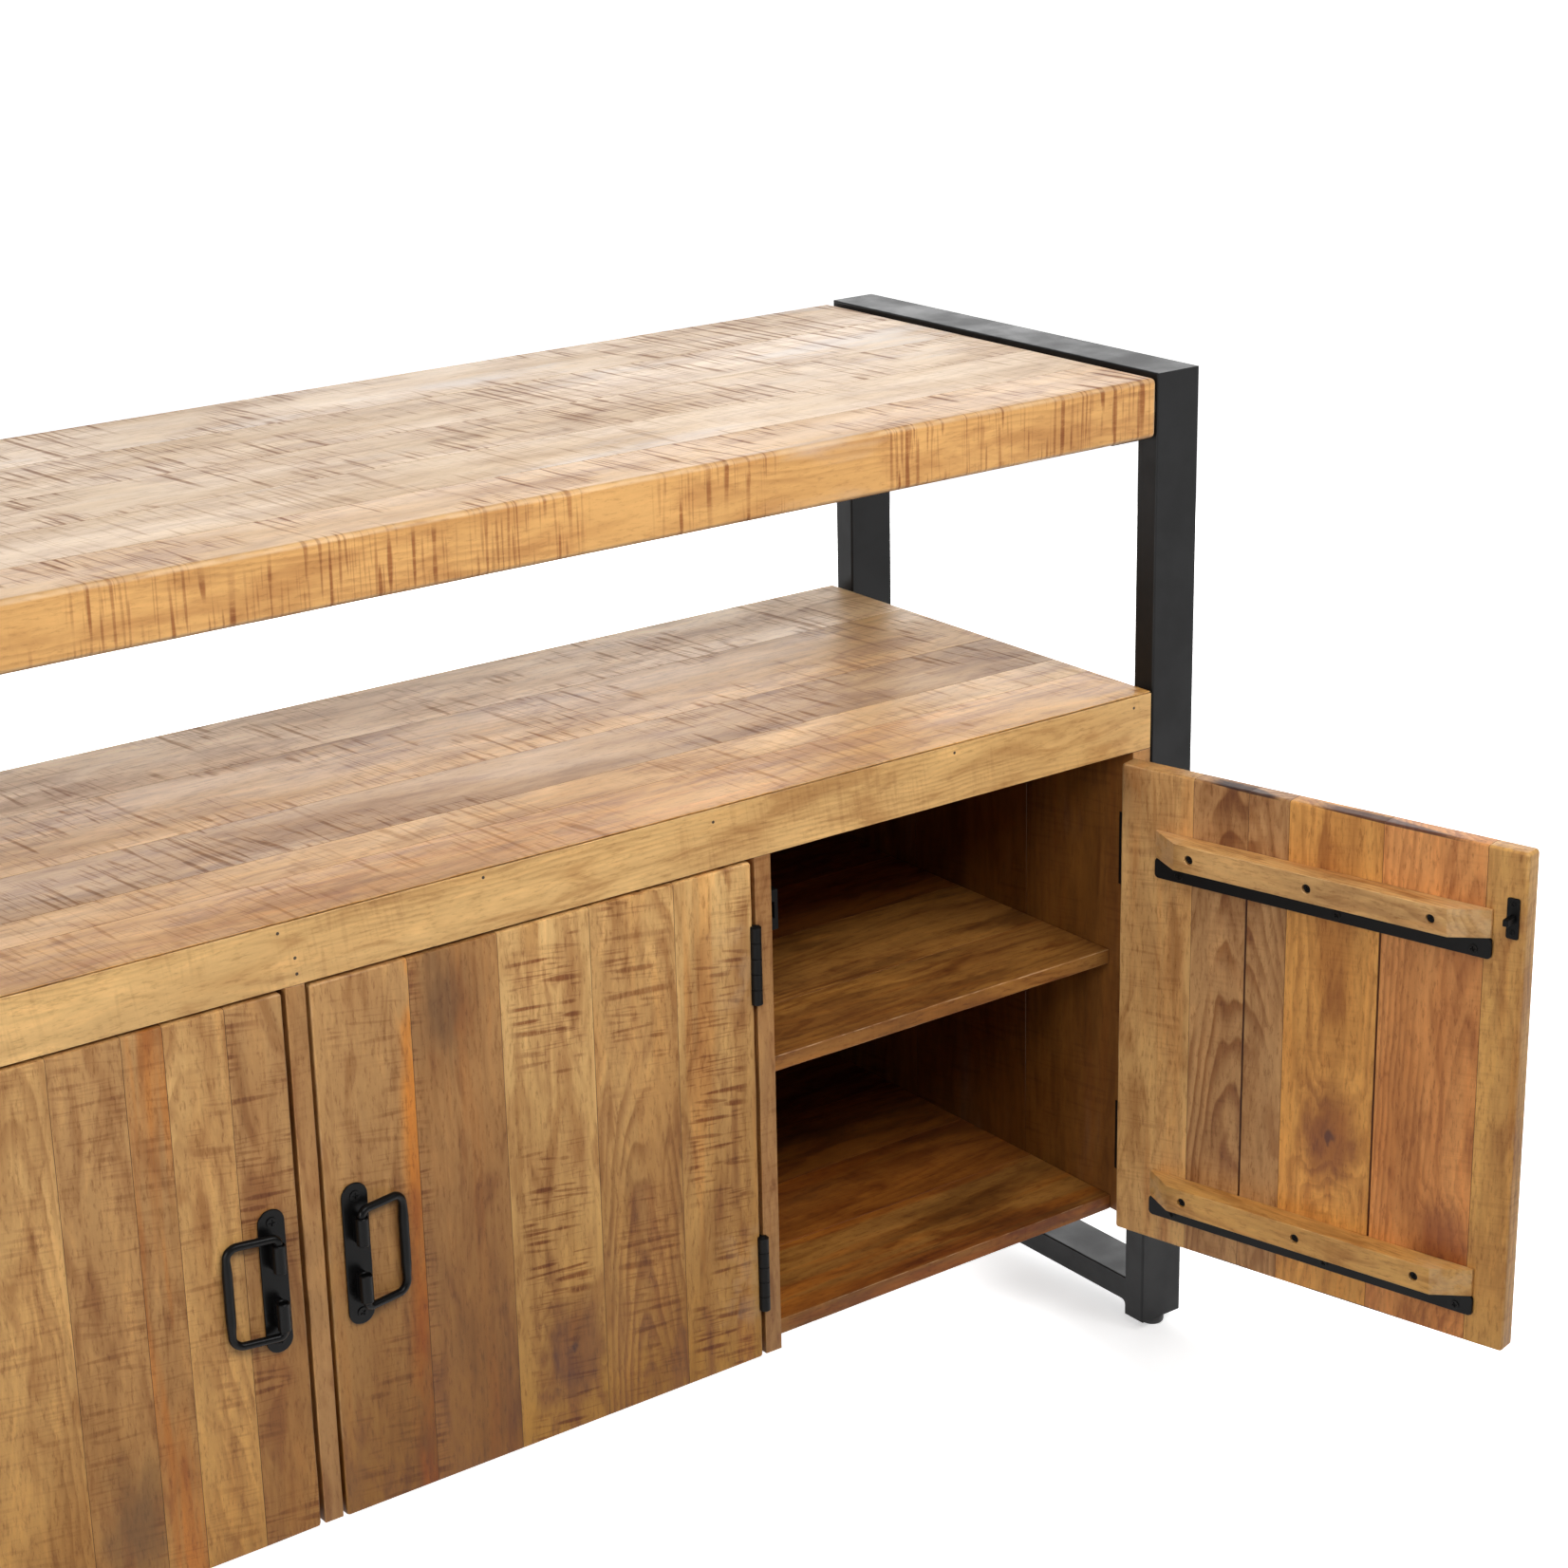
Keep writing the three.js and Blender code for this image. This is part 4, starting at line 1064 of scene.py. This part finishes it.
def door_catch(name, material):
    stand = door_matrix(name)
    node = f"catch_strike_{name}"
    low, high = local_box(node, stand.inverted())
    centre = (low.x + high.x) / 2
    level = (low.z + high.z) / 2
    outline = rounded_box(low.x, high.x, low.z, high.z, 2 * MM)
    plate, place = upright_plate(low.y, low.y + 1.2 * MM, [outline], 0.3 * MM)
    tongue = block_part((centre - 2.5 * MM, low.y + 0.6 * MM, level - 3 * MM),
                        (centre + 2.5 * MM, high.y, level + 3 * MM), 0.8 * MM, 3)
    places = [(centre, low.y + 1.9 * MM, level + z) for z in (-12 * MM, 12 * MM)]
    parts = [(plate, stand @ place), (tongue, stand)] + screws(stand, places, 2.4 * MM, 1, 0.4, 0)
    show(assembled(f"strike_plate_{name}", parts, material), f"door_{name}", "catch_metal", node)
    node = f"roller_catch_{name}"
    solid = frame_solid(node)
    ease(solid, sharp_edges(solid, 60), 0.5 * MM, 2)
    clip = assembled(f"catch_clip_{name}", [(solid_mesh(solid), Matrix.Identity(4))], material)
    show(clip, "carcass", "catch_metal", node)


def door(name, door_wood, batten_wood, strap_iron, hinge_iron, handle_iron, catch_metal, screw_metal):
    node = f"door_{name}"
    stand = door_matrix(name)
    grooves = {"left": (200.6 * MM, 289.6 * MM), "middle": (-239.4 * MM, -156.4 * MM),
               "right": (-256.5 * MM, -129 * MM)}[name]
    seed = 200 + 31.7 * list(DOORS).index(name)
    # The door darkens towards its bottom: partly stain, partly painted shade.
    panel = staved(f"door_panel_{name}", frame_solid(node), reordered("zxy") @ stand.inverted(),
                   door_staves(name), door_wood, seed=seed, grooves=grooves, stain_and_shade=DOOR_STAIN_AND_SHADE[name])
    show(panel, node, "door_wood", node)
    for level in ("lower", "upper"):
        batten(name, level, batten_wood, screw_metal)
        strap(name, level, strap_iron, screw_metal)
    hinges(name, hinge_iron)
    handle(name, handle_iron)
    door_catch(name, catch_metal)


# ---- end frames ----
def post_outline(depth, bottom, height):
    """Outer outline of an end frame in (y, z), with welded fillets under the foot rail."""
    rail = FOOT_RAIL[0]
    turns = [math.pi / 2 * i / 6 for i in range(7)]
    front = [(TUBE + WELD * (1 - math.cos(t)), rail - WELD * (1 - math.sin(t))) for t in turns]
    rear = [(depth - y, z) for y, z in reversed(front)]
    return ([(0, bottom), (TUBE, bottom)] + front + rear
            + [(depth - TUBE, bottom), (depth, bottom), (depth, height), (0, height)])


def end_x(node, way):
    """Where a node ends on the right, or for a way below 0 on the left."""
    low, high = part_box(node)
    return high.x if way > 0 else low.x


def spacer_part(gap):
    """Steel spacer that fills a gap, with a small weld at its foot."""
    r = SPACER_RADIUS
    return lathe_part([(0, 0), (r + 1.6 * MM, 0), (r + 0.5 * MM, 0.8 * MM), (r, 1.6 * MM),
                       (r, gap - 0.3 * MM), (r - 0.3 * MM, gap), (0, gap)])


def glide(end, side, top, plastic):
    """Plastic foot in the lower end of a frame's leg, which ends at the height top."""
    node = f"glide_{end}_{side}"
    low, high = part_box(node)
    middle = (low + high) / 2
    r = (high.x - low.x) / 2
    profile = [(0, 0), (r - 2.4 * MM, 0), (r - 1 * MM, 0.5 * MM), (r - 0.2 * MM, 1.6 * MM),
               (r, 2.8 * MM), (r, top - 1.5 * MM), (r - 0.5 * MM, top - 0.5 * MM),
               (r - 1.5 * MM, top), (4 * MM, top), (4 * MM, high.z), (0, high.z)]
    turned = (lathe_part(profile, 40), Matrix.Translation((middle.x, middle.y, 0)))
    show(assembled(f"foot_{end}_{side}", [turned], plastic), "carcass", "glide_plastic", node)


def end_frame(side, steel, plastic):
    node = f"end_frame_{side}"
    low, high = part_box(node)
    way = 1 if side == "right" else -1
    outer = end_x(node, way)
    inner = outer - way * TUBE_WIDE
    depth = high.y - low.y
    hole = [(TUBE, FOOT_RAIL[1]), (TUBE, high.z - TUBE), (depth - TUBE, high.z - TUBE),
            (depth - TUBE, FOOT_RAIL[1])]
    loop = flat_part([post_outline(depth, low.z, high.z), hole], TUBE_WIDE, TUBE_ROUND, 3)
    stand = Matrix(((0, 0, 1, (inner + outer) / 2), (1, 0, 0, low.y), (0, 1, 0, 0), (0, 0, 0, 1)))
    parts = [(loop, stand)]
    slab_low, slab_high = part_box("tabletop")
    ends = [(end_x("tabletop", way), (slab_low.z + slab_high.z) / 2)]
    ends += [(end_x("cabinet_top", way), level) for level in SPACER_LEVELS]
    for y in (low.y + TUBE / 2, high.y - TUBE / 2):
        for end, level in ends:
            spacer = spacer_part(abs(inner - end) - 0.3 * MM)
            parts.append((spacer, facing((inner, y, level), (-way, 0, 0))))
    near, far = sorted((inner + way * 1 * MM, inner - way * 40 * MM))
    top = slab_low.z - 0.3 * MM
    rest = block_part((near, low.y + 12 * MM, top - 4 * MM), (far, high.y - 12 * MM, top), 0.8 * MM)
    parts.append((rest, Matrix.Identity(4)))
    show(assembled(f"steel_frame_{side}", parts, steel), "carcass", "frame_steel", node)
    for end in ("front", "rear"):
        glide(end, side, low.z - 0.3 * MM, plastic)


def fascia_nails(material):
    """Old nail heads left in the fascia board."""
    low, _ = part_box("front_fascia")
    spots = [(-221.6, 594), (-221, 581.5), (-234, 616), (-61, 617), (150, 612), (395, 616), (594.9, 613)]
    dome = [(0, 0.35 * MM), (0.8 * MM, 0.25 * MM), (1.3 * MM, 0), (1.3 * MM, -0.6 * MM), (0, -0.6 * MM)]
    parts = [(lathe_part(dome, 16), facing((x * MM, low.y, z * MM), (0, -1, 0))) for x, z in spots]
    show(assembled("fascia_nails", parts, material), "carcass", "strap_iron")


# ---- stage ----
def area_light(name, place, target, size, radiance, spread=180):
    """Softbox. A spread under 180 degrees narrows its beam and keeps what it gives straight ahead."""
    light = bpy.data.lights.new(name, "AREA")
    light.shape = "RECTANGLE"
    light.size, light.size_y = size
    light.energy = radiance * math.pi * size[0] * size[1]
    if spread < 180:
        half = math.radians(spread / 2)
        light.spread = 2 * half
        light.energy *= (math.tan(half) - half) / math.tan(half)
    lamp = bpy.data.objects.new(name, light)
    lamp.matrix_world = facing(place, Vector(place) - Vector(target))
    lamp.visible_camera = False
    bpy.context.scene.collection.objects.link(lamp)


def sky(low, high):
    """Even light all round, with one level below the horizon and one overhead."""
    world = bpy.data.worlds.new("studio")
    bpy.context.scene.world = world
    world.use_nodes = True
    tree = world.node_tree
    direction = tree.nodes.new("ShaderNodeTexCoord").outputs["Generated"]
    split = tree.nodes.new("ShaderNodeSeparateXYZ")
    tree.links.new(direction, split.inputs[0])
    level = tree.nodes.new("ShaderNodeMapRange")
    tree.links.new(split.outputs[2], level.inputs["Value"])
    level.inputs["From Min"].default_value = -0.15
    level.inputs["From Max"].default_value = 0.15
    level.inputs["To Min"].default_value = low
    level.inputs["To Max"].default_value = high
    background = tree.nodes["Background"]
    background.inputs["Color"].default_value = (1, 1, 1, 1)
    tree.links.new(level.outputs[0], background.inputs["Strength"])


def stage():
    reach = STUDIO_REACH
    corners = [(-reach, -reach), (reach, -reach), (reach, reach), (-reach, reach)]
    floor = mesh_object("studio_floor", [(x, y, 0) for x, y in corners], [(0, 1, 2, 3)], white_floor())
    floor.visible_diffuse = False
    sides = [(i, (i + 1) % 4, 4 + (i + 1) % 4, 4 + i) for i in range(4)]
    wall = mesh_object("studio_wall", [(x, y, z) for z in (0, reach) for x, y in corners],
                       sides + [(4, 5, 6, 7)], white_wall())
    # Only the camera sees the wall; it lights nothing.
    wall.visible_diffuse = False
    wall.visible_glossy = False
    wall.visible_transmission = False
    wall.visible_shadow = False
    sky(0.07, 0.2)
    area_light("key", (0.3, -1.35, 1.85), (0.3, 0, 0.94), (2.4, 0.7), 10.2, 100)
    area_light("fill", (-2.4, -0.55, 0.9), (0.6, -0.22, 0.4), (0.8, 0.9), 12.2)
    area_light("overhead", (0.1, 0.3, 2.7), (0.1, 0.25, 0), (1.8, 0.7), 1.2)
    area_light("back", (2.0, 2.7, 1.15), (0, 0.2, 0.75), (4.6, 2.1), 3.0)
    view = bpy.context.scene.view_settings
    view.view_transform = "Standard"
    view.look = "None"


def camera():
    low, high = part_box("end_frame_right")
    lens = bpy.data.cameras.new("camera")
    lens.lens = LENS
    lens.sensor_width = 36
    lens.clip_start = 0.05
    lens.clip_end = 200
    eye = bpy.data.objects.new("camera", lens)
    place = Matrix.Translation(Vector((high.x, low.y, 0)) + Vector(CAMERA_OFFSET))
    for degrees, axis in CAMERA_TURNS:
        place = place @ Matrix.Rotation(math.radians(degrees), 4, axis)
    eye.matrix_world = place
    bpy.context.scene.collection.objects.link(eye)
    bpy.context.scene.camera = eye


# ---- build ----
slab_wood = wood("slab_wood", saw=0.85, stroke=110 * MM, roughness=0.42, smoke=0.45, speckle=0.5,
                 contrast=0.42, sawn_share=0.66, edge_wear_and_highlight=0.45)
case_wood = wood("case_wood", saw=0.65, stroke=80 * MM, roughness=0.44, smoke=0.08, speckle=0.6,
                 contrast=0.8, sawn_share=0.58, edge_wear_and_highlight=0.6)
fascia_wood = wood("fascia_wood", ring_gap=4.5 * MM, saw=0.5, stroke=60 * MM, roughness=0.44, speckle=0.55,
                   contrast=0.85, edge_wear_and_highlight=0.3)
divider_wood = wood("divider_wood", saw=0.6, stroke=30 * MM, roughness=0.5, edge_wear_and_highlight=0.2)
inside_wood = wood("inside_wood", saw=0.5, stroke=40 * MM, roughness=0.55, speckle=1.0, contrast=1.35,
                   edge_wear_and_highlight=0.4)
door_wood = wood("door_wood", ring_gap=6 * MM, saw=0.95, stroke=70 * MM, roughness=0.48, speckle=0.9,
                 sawn_share=0.66, column=38 * MM, edge_wear_and_highlight=0.18)
batten_wood = wood("batten_wood", ring_gap=3.5 * MM, saw=0.4, stroke=30 * MM, roughness=0.5, edge_wear_and_highlight=0.3)
frame_steel = metal("frame_steel", (0.009, 0.009, 0.0095), 0.44, 0.8 * MM, 0.12, gloss=0.25)
strap_iron = metal("strap_iron", (0.005, 0.005, 0.0052), 0.42, 1.2 * MM, 0.2, gloss=0.12)
hinge_iron = metal("hinge_iron", (0.005, 0.0047, 0.0045), 0.44, 1.0 * MM, 0.2, gloss=0.12, bare=0.03)
handle_iron = metal("handle_iron", (0.003, 0.0028, 0.0028), 0.3, 1.6 * MM, 0.25, gloss=0.14)
# Near black, partly painted shade: the catch on the divider stands in the shadow of the open bay.
catch_metal = metal("catch_metal", (0.004, 0.004, 0.004), 0.45, 1.0 * MM, 0.15, gloss=0.1, bare=0.02)
screw_metal = metal("screw_metal", (0.004, 0.0035, 0.003), 0.4, 0.6 * MM, 0.15, gloss=0.12, bare=0.03)
nail_rust = metal("nail_rust", (0.06, 0.035, 0.02), 0.7, 0.8 * MM, 0.3)
glide_plastic = metal("glide_plastic", (0.02, 0.02, 0.02), 0.5, 0.5 * MM, 0.1)

tabletop(slab_wood)
cabinet_top(case_wood)
front_fascia(fascia_wood)
uprights(case_wood, divider_wood)
inside_boards(inside_wood)
for door_name in DOORS:
    door(door_name, door_wood, batten_wood, strap_iron, hinge_iron, handle_iron, catch_metal, screw_metal)
for frame_side in ("left", "right"):
    end_frame(frame_side, frame_steel, glide_plastic)
fascia_nails(nail_rust)
stage()
camera()
